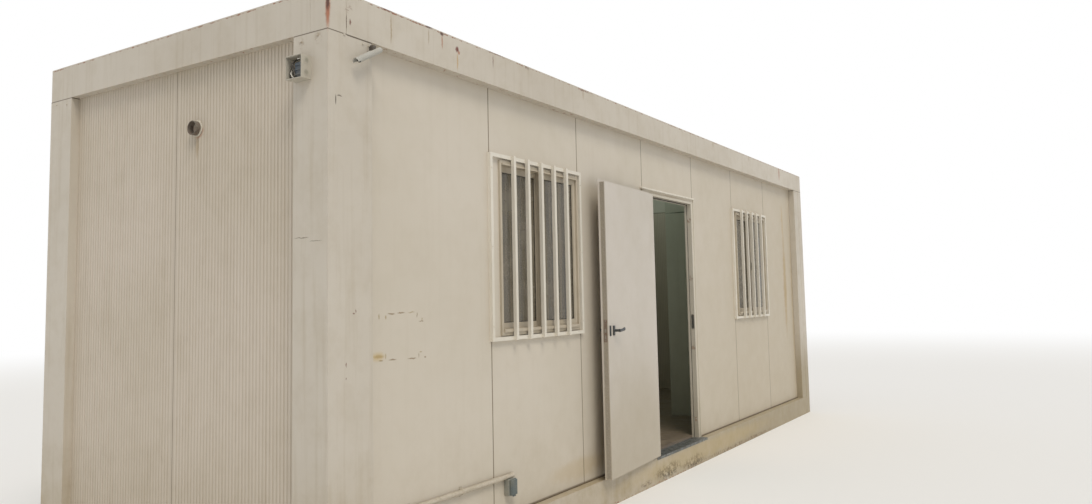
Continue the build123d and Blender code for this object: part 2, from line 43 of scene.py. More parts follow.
# Camera: a wide lens close to the near corner at eye height, turned towards the
# door side. It leans by about one degree, as a hand-held picture does.
eye = Vector((-6.2843, -3.8462, 1.4022))
yaw, pitch, roll = 1.0051, 0.0802, -0.0208
ahead = Vector((math.sin(yaw) * math.cos(pitch), math.cos(yaw) * math.cos(pitch), math.sin(pitch)))
level_right = Vector((math.cos(yaw), -math.sin(yaw), 0))
level_up = level_right.cross(ahead)
lean_right = level_right * math.cos(roll) + level_up * math.sin(roll)
lean_up = level_up * math.cos(roll) - level_right * math.sin(roll)
camera = bpy.data.objects.new("picture_camera", bpy.data.cameras.new("picture_camera"))
camera.data.lens = 27.3
camera.data.sensor_width = 36
camera.data.shift_x = 0.0032
camera.data.shift_y = -0.0187
camera.data.clip_end = 200
camera.matrix_world = Matrix.Translation(eye) @ Matrix((lean_right, lean_up, -ahead)).transposed().to_4x4()
bpy.context.scene.collection.objects.link(camera)
bpy.context.scene.camera = camera
bpy.context.scene.view_settings.view_transform = "Standard"


# Studio: a pale floor that fades to white far away, a soft lamp high on the left,
# and an even sky. Camera, glossy and transmission rays see a white background.
def linear(hex_colour):
    """Scene-linear colour of an sRGB hex value."""
    parts = [int(hex_colour[start:start + 2], 16) / 255 for start in (1, 3, 5)]
    bent = [part / 12.92 if part <= 0.04045 else ((part + 0.055) / 1.055) ** 2.4 for part in parts]
    return (*bent, 1)


def add_node(tree, kind, inputs=None, output=0, **settings):
    """Add a node, set it, fill or link its sockets, and give back one output socket."""
    made = tree.nodes.new(kind)
    for key, value in settings.items():
        setattr(made, key, value)
    for key, value in (inputs or {}).items():
        if isinstance(value, bpy.types.NodeSocket):
            tree.links.new(value, made.inputs[key])
        else:
            made.inputs[key].default_value = value
    return made.outputs[output] if made.outputs else None


def sees_background(tree):
    """1 for camera, glossy and transmission rays, 0 for rays that light the cabin."""
    rays = [add_node(tree, "ShaderNodeLightPath", output=name) for name in
            ("Is Camera Ray", "Is Glossy Ray", "Is Transmission Ray")]
    first = add_node(tree, "ShaderNodeMath", {0: rays[0], 1: rays[1]}, operation="MAXIMUM")
    return add_node(tree, "ShaderNodeMath", {0: first, 1: rays[2]}, operation="MAXIMUM")


world = bpy.data.worlds.new("even_sky")
world.use_nodes = True
bpy.context.scene.world = world
sky = world.node_tree
sky.nodes.clear()
sky_light = add_node(sky, "ShaderNodeBackground", {"Color": linear("#F4F6FA"), "Strength": 0.62})
sky_white = add_node(sky, "ShaderNodeBackground", {"Color": (1, 1, 1, 1), "Strength": 1.0})
sky_mix = add_node(sky, "ShaderNodeMixShader", {0: sees_background(sky), 1: sky_light, 2: sky_white})
add_node(sky, "ShaderNodeOutputWorld", {"Surface": sky_mix})

soft_lamp = bpy.data.objects.new("soft_lamp", bpy.data.lights.new("soft_lamp", "SUN"))
soft_lamp.data.energy = 1.5
soft_lamp.data.angle = math.radians(24)
soft_lamp.data.color = linear("#FFF9EF")[:3]
soft_lamp.rotation_euler = Vector((0.42, 0.62, -1.05)).to_track_quat("-Z", "Y").to_euler()
bpy.context.scene.collection.objects.link(soft_lamp)

bpy.ops.mesh.primitive_circle_add(vertices=64, radius=90, fill_type="NGON", location=(0, 0, 0))
floor = bpy.context.object
floor.name = "studio_floor"
floor_paint = bpy.data.materials.new("studio_floor_paint")
floor_paint.use_nodes = True
tree = floor_paint.node_tree
tree.nodes.clear()
floor_place = add_node(tree, "ShaderNodeTexCoord", output="Object")
distance = add_node(tree, "ShaderNodeVectorMath", {0: floor_place}, output="Value", operation="LENGTH")
far_away = add_node(tree, "ShaderNodeMapRange", {0: distance, 1: 9, 2: 26}, interpolation_type="SMOOTHSTEP")
fade = add_node(tree, "ShaderNodeMath", {0: far_away, 1: sees_background(tree)}, operation="MULTIPLY")
matt_floor = add_node(tree, "ShaderNodeBsdfDiffuse", {"Color": linear("#EFEEEB")})
white_glow = add_node(tree, "ShaderNodeEmission", {"Color": (1, 1, 1, 1), "Strength": 1.0})
floor_mix = add_node(tree, "ShaderNodeMixShader", {0: fade, 1: matt_floor, 2: white_glow})
add_node(tree, "ShaderNodeOutputMaterial", {"Surface": floor_mix})
floor.data.materials.append(floor_paint)


# Steel frame: corner posts and top and bottom rails, folded from sheet and welded
# to box-shaped corner blocks, then brushed with cream alkyd enamel. The enamel is
# chalky and dusty, runs brown below the rail edge, and rusts at edges and seams.
def start_finish(name):
    """A new material: its tree, its shader node and the Object coordinates it is laid out on."""
    finish = bpy.data.materials.new(name)
    finish.use_nodes = True
    tree = finish.node_tree
    shader = tree.nodes["Principled BSDF"]
    place = add_node(tree, "ShaderNodeTexCoord", output="Object")
    return finish, tree, shader, place


def lay_marks(tree, colour, place, marks):
    """Lay soft-edged stains over a colour.

    A mark is its centre, half sizes, tint and strength, and 1 where it is torn to flecks.
    """
    ragged = {}
    for size, reach in (("fine", 0.012), ("coarse", 0.05)):
        wander = add_node(tree, "ShaderNodeTexNoise", {"Vector": place, "Scale": 0.7 / reach, "Detail": 6}, 1)
        centred = add_node(tree, "ShaderNodeVectorMath", {0: wander, 1: (0.5, 0.5, 0.5)},
                           operation="SUBTRACT")
        shift = add_node(tree, "ShaderNodeVectorMath", {0: centred, "Scale": reach}, operation="SCALE")
        ragged[size] = add_node(tree, "ShaderNodeVectorMath", {0: place, 1: shift}, operation="ADD")
    fleck = add_node(tree, "ShaderNodeTexNoise", {"Vector": place, "Scale": 42, "Detail": 8,
                                                  "Roughness": 0.7})
    torn_off = add_node(tree, "ShaderNodeMapRange", {0: fleck, 1: 0.485, 2: 0.52})
    for centre, half, tint, strength, torn in marks:
        edge = ragged["coarse" if sorted(half)[1] > 0.04 else "fine"]
        offset = add_node(tree, "ShaderNodeVectorMath", {0: edge, 1: centre}, operation="SUBTRACT")
        unit = add_node(tree, "ShaderNodeVectorMath", {0: offset, 1: half}, operation="DIVIDE")
        reach = add_node(tree, "ShaderNodeVectorMath", {0: unit}, output="Value", operation="LENGTH")
        cover = add_node(tree, "ShaderNodeMapRange", {0: reach, 1: 1.0, 2: 0.35, 3: 0, 4: strength},
                         interpolation_type="SMOOTHSTEP")
        if torn:
            cover = add_node(tree, "ShaderNodeMath", {0: cover, 1: torn_off}, operation="MULTIPLY")
        colour = add_node(tree, "ShaderNodeMix", {0: cover, 6: colour, 7: linear(tint)}, 2, data_type="RGBA")
    return colour


def weathered_enamel(name, paint, shade, dirt, runs, foot, rust_level, roughness, dust=0.1, marks=(),
                     rust_lines=(), dirt_and_shade_lines=()):
    """Chalky enamel on steel: cloudy tone, dust, brown runs, splashed foot, rust, dirt in its joints and
    painted shade in its grooves.
    """
    finish, tree, shader, place = start_finish(name)
    axes = [add_node(tree, "ShaderNodeSeparateXYZ", {0: place}, axis) for axis in range(3)]
    height = axes[2]
    cloud = add_node(tree, "ShaderNodeTexNoise", {"Vector": place, "Scale": 0.9, "Detail": 4})
    clouded = add_node(tree, "ShaderNodeMapRange", {0: cloud, 1: 0.35, 2: 0.68})
    colour = add_node(tree, "ShaderNodeMix", {0: clouded, 6: linear(paint), 7: linear(shade)}, 2,
                      data_type="RGBA")
    # Dust that mottles in patches 10 to 20 cm across, and lies thick on ledges
    mottle = add_node(tree, "ShaderNodeTexNoise", {"Vector": place, "Scale": 7, "Detail": 8,
                                                   "Roughness": 0.65})
    dusty = add_node(tree, "ShaderNodeMapRange", {0: mottle, 1: 0.46, 2: 0.76, 3: 0, 4: dust})
    facing = add_node(tree, "ShaderNodeNewGeometry", output="Normal")
    upward = add_node(tree, "ShaderNodeSeparateXYZ", {0: facing}, 2)
    ledge = add_node(tree, "ShaderNodeMapRange", {0: upward, 1: 0.6, 2: 0.95, 3: 0, 4: 0.7})
    ledge_dust = add_node(tree, "ShaderNodeMath", {0: ledge, 1: mottle, 2: dusty}, operation="MULTIPLY_ADD")
    colour = add_node(tree, "ShaderNodeMix", {0: ledge_dust, 6: colour, 7: linear(dirt)}, 2, data_type="RGBA")
    # Rain runs: about 3 cm apart, drawn out down the wall
    drawn = add_node(tree, "ShaderNodeMapping", {"Vector": place, "Scale": (26, 26, 1.1)})
    run = add_node(tree, "ShaderNodeTexNoise", {"Vector": drawn, "Scale": 1, "Detail": 5, "Roughness": 0.6})
    running = add_node(tree, "ShaderNodeMapRange", {0: run, 1: 0.52, 2: 0.82, 3: 0, 4: runs})
    colour = add_node(tree, "ShaderNodeMix", {0: running, 6: colour, 7: linear(dirt)}, 2, data_type="RGBA")
    # Splashed dirt low down
    low = add_node(tree, "ShaderNodeMapRange", {0: height, 1: 0.75, 2: 0.05, 3: 0, 4: foot})
    splash = add_node(tree, "ShaderNodeMath", {0: low, 1: mottle}, operation="MULTIPLY")
    colour = add_node(tree, "ShaderNodeMix", {0: splash, 6: colour, 7: linear(dirt)}, 2, data_type="RGBA")
    # Rust: specks 5 to 20 mm across, gathered in patches, and lines along edges
    speck = add_node(tree, "ShaderNodeTexNoise", {"Vector": place, "Scale": 34, "Detail": 9,
                                                  "Roughness": 0.72})
    region = add_node(tree, "ShaderNodeTexNoise", {"Vector": place, "Scale": 1.6, "Detail": 3})
    gathered = add_node(tree, "ShaderNodeMapRange", {0: region, 1: 0.5, 2: 0.72, 3: 0, 4: rust_level})
    reach = add_node(tree, "ShaderNodeMath", {0: speck, 1: gathered}, operation="ADD")
    for level, width, amount in rust_lines:
        above = add_node(tree, "ShaderNodeMath", {0: height, 1: level}, operation="SUBTRACT")
        near = add_node(tree, "ShaderNodeMath", {0: above}, operation="ABSOLUTE")
        line = add_node(tree, "ShaderNodeMapRange", {0: near, 1: width, 2: 0, 3: 0, 4: amount})
        reach = add_node(tree, "ShaderNodeMath", {0: reach, 1: line}, operation="ADD")
    rusted = add_node(tree, "ShaderNodeMapRange", {0: reach, 1: 0.74, 2: 0.80},
                      interpolation_type="SMOOTHSTEP")
    rust_tone = add_node(tree, "ShaderNodeMix", {0: speck, 6: linear("#5A3A2A"), 7: linear(rust_red)}, 2,
                         data_type="RGBA")
    colour = add_node(tree, "ShaderNodeMix", {0: rusted, 6: colour, 7: rust_tone}, 2, data_type="RGBA")
    if marks:
        colour = lay_marks(tree, colour, place, marks)
    # Dirt caught along joints, and painted shade in grooves, in lines that repeat at a pitch along one axis
    for axis, mirrored, offset, pitch, reach, strength, tint in dirt_and_shade_lines:
        along = axes[axis]
        if mirrored:
            along = add_node(tree, "ShaderNodeMath", {0: along}, operation="ABSOLUTE")
        from_first = add_node(tree, "ShaderNodeMath", {0: along, 1: offset}, operation="SUBTRACT")
        away = add_node(tree, "ShaderNodeMath", {0: from_first, 1: pitch / 2}, operation="PINGPONG")
        line_darkening = add_node(tree, "ShaderNodeMapRange", {0: away, 1: reach, 2: reach / 4, 3: 0, 4: strength},
                          interpolation_type="SMOOTHSTEP")
        colour = add_node(tree, "ShaderNodeMix", {0: line_darkening, 6: colour, 7: linear(tint)}, 2, data_type="RGBA")
    tree.links.new(colour, shader.inputs["Base Color"])
    rough = add_node(tree, "ShaderNodeMapRange", {0: mottle, 1: 0.3, 2: 0.8, 3: roughness,
                                                  4: roughness + 0.22})
    tree.links.new(rough, shader.inputs["Roughness"])
    # Brush marks and orange peel 2 to 4 mm across, and crusty rust
    peel = add_node(tree, "ShaderNodeTexNoise", {"Vector": place, "Scale": 320, "Detail": 2})
    crust = add_node(tree, "ShaderNodeMath", {0: rusted, 1: speck}, operation="MULTIPLY")
    relief = add_node(tree, "ShaderNodeMath", {0: crust, 1: 1.4, 2: peel}, operation="MULTIPLY_ADD")
    bump = add_node(tree, "ShaderNodeBump", {"Height": relief, "Strength": 0.22, "Distance": 0.0012})
    tree.links.new(bump, shader.inputs["Normal"])
    return finish


def dress(finish, *names):
    """Give one finish to CAD nodes, whose meshes stay as they are."""
    for name in names:
        nodes[name].data.materials.clear()
        nodes[name].data.materials.append(finish)


rust_red, rust_brown, run_brown = "#A0603F", "#6B4030", "#9A8462"
frame_marks = [
    # Near corner: a rusted edge, and a dark seam and spots beside the roof block
    ((-3.775, -1.155, 2.705), (0.02, 0.019, 0.125), rust_red, 0.9, 0),
    ((-3.774, -1.154, 2.73), (0.013, 0.014, 0.055), "#4A2E26", 0.9, 0),
    ((-3.65, -1.155, 2.731), (0.03, 0.01, 0.025), "#7E5C4A", 0.7, 1),
    ((-3.662, -1.155, 2.665), (0.003, 0.01, 0.055), "#574638", 0.85, 0),
    ((-3.64, -1.155, 2.672), (0.008, 0.01, 0.02), rust_brown, 0.85, 0),
    # Rusted top edge of the rail, and the runs below it
    ((-3.4, -1.155, 2.797), (0.06, 0.01, 0.006), "#6B3A28", 0.85, 0),
    ((-3.37, -1.155, 2.71), (0.008, 0.01, 0.095), run_brown, 0.65, 0),
    ((-3.09, -1.155, 2.796), (0.035, 0.01, 0.008), "#4E3028", 0.85, 0),
    ((-3.093, -1.155, 2.745), (0.006, 0.01, 0.055), run_brown, 0.6, 0),
    ((-2.987, -1.155, 2.788), (0.02, 0.01, 0.014), "#4E2E24", 0.9, 0),
    ((-2.984, -1.155, 2.745), (0.008, 0.01, 0.05), rust_red, 0.65, 0),
    ((-2.86, -1.155, 2.737), (0.02, 0.01, 0.02), "#6A2E22", 0.95, 0),
    ((-2.845, -1.155, 2.722), (0.011, 0.01, 0.014), rust_red, 0.8, 0),
    ((-2.857, -1.155, 2.67), (0.008, 0.01, 0.06), "#B58F52", 0.65, 0),
    ((-2.532, -1.155, 2.75), (0.007, 0.01, 0.05), rust_brown, 0.55, 0),
    ((-2.5, -1.155, 2.797), (0.12, 0.01, 0.006), "#6B4030", 0.7, 1),
    ((-2.184, -1.155, 2.79), (0.05, 0.01, 0.012), "#5B3A2C", 0.8, 1),
    ((-1.5, -1.155, 2.79), (0.12, 0.01, 0.01), rust_brown, 0.7, 1),
    ((-1.5, -1.155, 2.76), (0.012, 0.01, 0.05), run_brown, 0.45, 0),
    ((0.9, -1.155, 2.78), (0.018, 0.01, 0.05), run_brown, 0.5, 0),
    ((1.9, -1.155, 2.78), (0.018, 0.01, 0.05), run_brown, 0.45, 0),
    ((2.931, -1.155, 2.74), (0.02, 0.01, 0.1), rust_red, 0.85, 0),
    # Yellowed, sand-blown paint towards the far end, and peeled paint below the door
    ((3.6, -1.155, 0.1), (4.6, 0.3, 0.9), "#9F9278", 0.85, 0),
    ((-0.3, -1.157, 0.07), (0.32, 0.03, 0.07), "#2E241A", 1, 1),
    ((0.2, -1.157, 0.05), (0.32, 0.03, 0.06), "#382A1E", 1, 1),
    ((-0.7, -1.157, 0.04), (0.12, 0.03, 0.025), "#5C4A36", 0.85, 1),
    ((1.3, -1.157, 0.018), (1.4, 0.03, 0.024), "#6F5A40", 0.8, 1),
    ((0.5, -1.157, 0.1), (2.2, 0.03, 0.1), "#B8A478", 0.5, 0),
    # Scrapes on the near post
    ((-3.668, -1.155, 1.13), (0.004, 0.01, 0.014), rust_brown, 0.8, 0),
    ((-3.669, -1.155, 1.07), (0.004, 0.01, 0.008), rust_brown, 0.7, 0),
    ((-3.618, -1.155, 1.352), (0.01, 0.01, 0.005), rust_brown, 0.8, 0),
    ((-3.606, -1.155, 1.362), (0.004, 0.01, 0.012), rust_brown, 0.7, 0),
    ((-3.729, -1.155, 2.297), (0.0045, 0.01, 0.03), "#4F463A", 0.9, 0),
    ((-3.706, -1.155, 2.318), (0.022, 0.01, 0.0045), "#5E5346", 0.8, 0),
    ((-3.775, -0.985, 2.566), (0.01, 0.025, 0.035), "#8E7A5E", 0.55, 1),
    ((-3.775, -1.094, 2.577), (0.01, 0.03, 0.035), "#8E7A5E", 0.5, 1),
    ((-3.775, -0.99, 1.69), (0.01, 0.06, 0.0035), "#7D7462", 0.85, 0),
    ((-3.775, -1.08, 1.672), (0.01, 0.05, 0.003), "#7D7462", 0.8, 0),
]


def frame_enamel(name, joints=()):
    """The frame's cream enamel, with dirt in the joints where a piece has them."""
    return weathered_enamel(
        name, "#C9C1B3", "#C0B7A8", "#96835C", runs=0.3, foot=0.95, rust_level=0.05, roughness=0.46,
        dust=0.16,
        marks=frame_marks, rust_lines=((2.792, 0.0078, 0.27), (0.004, 0.03, 0.22), (2.61, 0.005, 0.14)),
        dirt_and_shade_lines=joints,
    )


cream_enamel = frame_enamel("cream_alkyd_enamel")
dress(
    cream_enamel,
    *(f"{level}_rail_{side}" for level in ("base", "roof") for side in ("front", "rear", "left", "right")),
    "base_corner_blocks", "roof_corner_blocks",
)
# The posts' upper ends carry the dark joint under the roof blocks
post_enamel = frame_enamel("cream_alkyd_post_enamel", ((2, False, 2.608, 5.6, 0.0048, 0.85, "#5A4C3C"),))
dress(post_enamel, *(f"corner_post_{face}_{end}" for face in ("front", "rear") for end in ("left", "right")))


# Underframe and purlins: folded steel members under the floor and the roof, in
# dark grey primer that has gone brown with surface rust.
primer = weathered_enamel(
    "rusty_grey_primer", "#6E6A63", "#5C564E", "#4A3F34", runs=0.4, foot=0.3, rust_level=0.22,
    roughness=0.62, dust=0.3,
)
dress(primer, "floor_cross_members", "roof_purlins")


# Wall panels: steel-faced foam sandwich panels, coated in cream polyester at the
# mill. Smooth and flat, dulled by dust, with old glue scars and hook scratches.
scar_brown, scar_faint = "#8C795C", "#A4926F"
wall_marks = [
    # The coat is darker and yellower towards the far end, a little more so low down
    ((4.6, -1.091, 1.0), (6.2, 0.4, 3.6), "#BCB09A", 0.8, 0),
    # Torn adhesive tape: two ragged outlines on the first panel
    *(((x, -1.091, z), (half_x, 0.01, half_z), tint, 0.85, 0) for x, z, half_x, half_z, tint in (
        (-3.395, 1.331, 0.006, 0.018, scar_faint), (-3.35, 1.327, 0.008, 0.015, scar_faint),
        (-3.311, 1.342, 0.034, 0.005, scar_brown), (-3.243, 1.345, 0.036, 0.0055, scar_brown),
        (-3.168, 1.346, 0.033, 0.004, scar_faint), (-3.127, 1.331, 0.004, 0.016, scar_brown),
        (-3.096, 1.3, 0.024, 0.004, scar_brown), (-3.089, 1.311, 0.006, 0.01, scar_faint),
        (-3.4, 1.144, 0.045, 0.011, scar_brown), (-3.385, 1.124, 0.02, 0.005, scar_brown),
        (-3.351, 1.143, 0.006, 0.018, scar_faint), (-3.304, 1.124, 0.036, 0.0055, scar_brown),
        (-3.166, 1.12, 0.045, 0.005, scar_brown), (-3.116, 1.132, 0.004, 0.015, scar_brown),
        (-3.1, 1.149, 0.011, 0.004, scar_faint), (-3.067, 1.121, 0.01, 0.007, scar_brown),
    )),
    ((-3.404, -1.091, 1.144), (0.06, 0.01, 0.03), "#C2A86E", 0.55, 0),
    # Yellow run down the last panel and dirt by the far post
    ((3.2, -1.091, 1.5), (0.075, 0.02, 0.75), "#A98D58", 0.62, 0),
    ((3.18, -1.091, 2.2), (0.045, 0.02, 0.3), "#B79C68", 0.5, 0),
    ((3.47, -1.091, 1.2), (0.05, 0.02, 1.2), "#A38E64", 0.4, 0),
    ((-1.56, -1.091, 0.3), (0.5, 0.02, 0.09), "#B29C72", 0.4, 0),
]
panel_coat = weathered_enamel(
    "cream_polyester_coat", "#CDC4B5", "#C6BDAC", "#9C8B68", runs=0.07, foot=0.5, rust_level=0.0,
    roughness=0.42, dust=0.07, marks=wall_marks, rust_lines=((0.19, 0.012, 0.13),),
    dirt_and_shade_lines=((0, False, 0.5, 1.0, 0.007, 0.65, "#63523A"), (2, False, 0.194, 5.6, 0.014, 0.75, "#5E4E36")),
)
dress(
    panel_coat, *(f"front_panel_{index}" for index in (1, 2, 3, 5, 6, 7)), "front_panel_over_door",
    "rear_wall_panels",
)
end_coat = weathered_enamel(
    "micro_ribbed_cream_coat", "#CABFB0", "#C0B5A3", "#8F7F5E", runs=0.2, foot=0.6, rust_level=0.0,
    roughness=0.46, dust=0.1,
    marks=[((-3.729, -0.17, 2.21), (0.01, 0.02, 0.09), run_brown, 0.5, 0),
           ((-3.729, -0.178, 2.275), (0.01, 0.05, 0.045), rust_red, 0.75, 0)],
    rust_lines=((0.19, 0.012, 0.13),),
    # Lines at the 24 mm rib pitch are painted shade in the rib grooves; the middle one is the panel joint.
    dirt_and_shade_lines=((1, True, 0.468, 0.024, 0.0075, 0.2, "#8A7C60"), (1, True, 0.0, 2.0, 0.006, 0.5, "#6E5C42")),
)
dress(end_coat, "left_end_wall", "right_end_wall")


# Door frame: folded galvanised steel jambs and head in cream enamel, lapped over
# the panels, with a black rubber seal on the stop and a plated strike on the latch side.
def small_finish(name, colour, worn, grain, roughness, metallic=0.0, relief=0.1, dust=0.25,
                 dust_colour="#9E937B"):
    """Moulded, cast or plated material: fine two-tone grain, uneven gloss and a little settled dust."""
    finish, tree, shader, place = start_finish(name)
    fine = add_node(tree, "ShaderNodeTexNoise", {"Vector": place, "Scale": grain, "Detail": 5,
                                                 "Roughness": 0.6})
    worn_in = add_node(tree, "ShaderNodeMapRange", {0: fine, 1: 0.45, 2: 0.72})
    colour = add_node(tree, "ShaderNodeMix", {0: worn_in, 6: linear(colour), 7: linear(worn)}, 2,
                      data_type="RGBA")
    patch = add_node(tree, "ShaderNodeTexNoise", {"Vector": place, "Scale": 18, "Detail": 6,
                                                  "Roughness": 0.7})
    settled = add_node(tree, "ShaderNodeMapRange", {0: patch, 1: 0.42, 2: 0.74, 3: 0, 4: dust})
    colour = add_node(tree, "ShaderNodeMix", {0: settled, 6: colour, 7: linear(dust_colour)}, 2,
                      data_type="RGBA")
    tree.links.new(colour, shader.inputs["Base Color"])
    shader.inputs["Metallic"].default_value = metallic
    rough = add_node(tree, "ShaderNodeMapRange", {0: patch, 1: 0.3, 2: 0.75, 3: roughness,
                                                  4: roughness + 0.2})
    tree.links.new(rough, shader.inputs["Roughness"])
    bump = add_node(tree, "ShaderNodeBump", {"Height": fine, "Strength": relief, "Distance": 0.0006})
    tree.links.new(bump, shader.inputs["Normal"])
    return finish


def eased_bar(low, high, ease):
    """A bar between two corners, drawn as a cube and bevelled along all its edges."""
    low, high = Vector(low), Vector(high)
    bpy.ops.mesh.primitive_cube_add(size=1, location=(low + high) / 2)
    bar = bpy.context.object
    bar.scale = high - low
    bpy.ops.object.transform_apply(location=True, rotation=True, scale=True)
    bpy.ops.object.mode_set(mode="EDIT")
    bpy.ops.mesh.select_all(action="SELECT")
    bpy.ops.mesh.bevel(offset=ease, segments=2)
    bpy.ops.object.mode_set(mode="OBJECT")
    return bar


def turned(stations, sides, place, direction):
    """A turned part: a disc extruded and resized through stations of distance and radius."""
    bpy.ops.mesh.primitive_circle_add(vertices=sides, radius=stations[0][1], fill_type="NGON")
    part = bpy.context.object
    bpy.ops.object.mode_set(mode="EDIT")
    bpy.ops.mesh.select_all(action="SELECT")
    bpy.ops.transform.translate(value=(0, 0, stations[0][0]))
    for (back, wide), (ahead_by, radius) in zip(stations, stations[1:]):
        bpy.ops.mesh.extrude_region_move(TRANSFORM_OT_translate={"value": (0, 0, ahead_by - back)})
        bpy.ops.transform.resize(value=(radius / wide, radius / wide, 1), center_override=(0, 0, ahead_by))
    bpy.ops.mesh.select_all(action="SELECT")
    bpy.ops.mesh.normals_make_consistent(inside=False)
    bpy.ops.object.mode_set(mode="OBJECT")
    turn = Vector((0, 0, 1)).rotation_difference(Vector(direction)).to_matrix().to_4x4()
    part.data.transform(Matrix.Translation(place) @ turn)
    return part


def repeat_at(part, places):
    """Copies of a part at each place, every copy with its own mesh, joined with it into one object."""
    parts = []
    for place in places:
        twin = bpy.data.objects.new(part.name, part.data.copy())
        twin.data.transform(place if isinstance(place, Matrix) else Matrix.Translation(place))
        bpy.context.scene.collection.objects.link(twin)
        parts.append(twin)
    bpy.data.objects.remove(part)
    return join_parts(parts)


def join_parts(parts):
    """Join parts into the first of them."""
    bpy.ops.object.select_all(action="DESELECT")
    for part in parts:
        part.select_set(True)
    bpy.context.view_layer.objects.active = parts[0]
    if len(parts) > 1:
        bpy.ops.object.join()
    return parts[0]


def settle(piece, name, body, finish=None):
    """Name a finished piece, give it its finish, and tie it to its body."""
    piece.name = name
    piece.data.name = name
    if finish:
        piece.data.materials.clear()
        piece.data.materials.append(finish)
    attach(piece, body)
    return piece


jamb_enamel = weathered_enamel(
    "cream_door_frame_enamel", "#CFC7B7", "#C4BBA9", "#8E8266", runs=0.2, foot=0.8, rust_level=0.03,
    roughness=0.44,
    marks=[((0.4595, -1.075, level), (0.01, 0.03, 0.03), "#8A6248", 0.6, 1)
           for level in (0.35, 0.95, 1.55, 2.05)]
    # The dark band across the head, just below the drip strip, is painted shade.
    + [((0, -1.1, 2.214), (0.7, 0.02, 0.009), "#A08F74", 0.75, 0)],
)
dress(jamb_enamel, "door_frame")
opening_half, opening_foot, opening_head = 0.4595, 0.193, 2.19
stop_front, seal_depth, seal_width = -1.059, 0.0025, 0.008
seal_in = opening_half - 0.002
seal_bars = [
    eased_bar((side * seal_in - (seal_width if side > 0 else 0), stop_front - seal_depth, opening_foot),
              (side * seal_in + (0 if side > 0 else seal_width), stop_front + 0.0005, opening_head - 0.002),
              0.0008)
    for side in (-1, 1)
]
seal_bars.append(eased_bar((-seal_in, stop_front - seal_depth, opening_head - 0.002 - seal_width),
                           (seal_in, stop_front + 0.0005, opening_head - 0.002), 0.0008))
black_rubber = small_finish("black_epdm_rubber", "#23221F", "#34322D", 900, 0.7, relief=0.2, dust=0.35)
settle(join_parts(seal_bars), "door_stop_seal", "cabin", black_rubber)

strike = eased_bar((opening_half - 0.0022, -1.092, 1.115), (opening_half, -1.068, 1.235), 0.0007)
bpy.ops.object.mode_set(mode="EDIT")
for level in (1.13, 1.16, 1.18, 1.22):
    bpy.ops.mesh.select_all(action="SELECT")
    bpy.ops.mesh.bisect(plane_co=(0, 0, level), plane_no=(0, 0, 1))


def select_faces(part, pick):
    """In edit mode, select only the faces that pick accepts."""
    bpy.ops.mesh.select_mode(type="FACE")
    bpy.ops.mesh.select_all(action="DESELECT")
    bpy.ops.object.mode_set(mode="OBJECT")
    for face in part.data.polygons:
        face.select = pick(face)
    bpy.ops.object.mode_set(mode="EDIT")


select_faces(strike, lambda face: face.normal.x < -0.9 and (
    1.13 < face.center.z < 1.16 or 1.18 < face.center.z < 1.22) and face.area > 0.0002)
bpy.ops.mesh.inset(thickness=0.005, depth=0, use_individual=True)
bpy.ops.mesh.extrude_region_move(TRANSFORM_OT_translate={"value": (0.0017, 0, 0)})
bpy.ops.object.mode_set(mode="OBJECT")
plated_steel = small_finish("zinc_plated_steel", "#A5A39C", "#7D776B", 260, 0.34, metallic=0.9, dust=0.5,
                            dust_colour="#7A5B45")
settle(strike, "door_strike_plate", "cabin", plated_steel)
head_strip = eased_bar((-0.535, -1.1125, 2.228), (0.505, -1.0905, 2.2425), 0.0025)
# Its enamel is the frame's cream set paler, a painted highlight on the strip.
strip_enamel_painted_highlight = small_finish("pale_strip_enamel", "#DDD6C8", "#CFC7B6", 60, 0.4, dust=0.15)
settle(head_strip, "door_head_drip_strip", "cabin", strip_enamel_painted_highlight)


# Threshold: a folded strip of mill-finish aluminium over the base rail, scuffed
# bright where shoes cross it and dark with trodden dirt elsewhere.
scuffed, tree, shader, place = start_finish("scuffed_aluminium_strip")
along = add_node(tree, "ShaderNodeMapping", {"Vector": place, "Scale": (3, 60, 60)})
scratch = add_node(tree, "ShaderNodeTexNoise", {"Vector": along, "Scale": 5, "Detail": 7, "Roughness": 0.7})
bright = add_node(tree, "ShaderNodeMapRange", {0: scratch, 1: 0.5, 2: 0.66})
colour = add_node(tree, "ShaderNodeMix", {0: bright, 6: linear("#6C7070"), 7: linear("#A2A49F")}, 2,
                  data_type="RGBA")
trodden = add_node(tree, "ShaderNodeTexNoise", {"Vector": place, "Scale": 24, "Detail": 8, "Roughness": 0.7})
dirty = add_node(tree, "ShaderNodeMapRange", {0: trodden, 1: 0.44, 2: 0.68, 3: 0, 4: 0.8})
colour = add_node(tree, "ShaderNodeMix", {0: dirty, 6: colour, 7: linear("#5A5143")}, 2, data_type="RGBA")
tree.links.new(colour, shader.inputs["Base Color"])
shader.inputs["Metallic"].default_value = 0.65
rough = add_node(tree, "ShaderNodeMapRange", {0: dirty, 1: 0, 2: 0.8, 3: 0.38, 4: 0.75})
tree.links.new(rough, shader.inputs["Roughness"])
bump = add_node(tree, "ShaderNodeBump", {"Height": scratch, "Strength": 0.2, "Distance": 0.0006})
tree.links.new(bump, shader.inputs["Normal"])
dress(scuffed, "door_threshold")


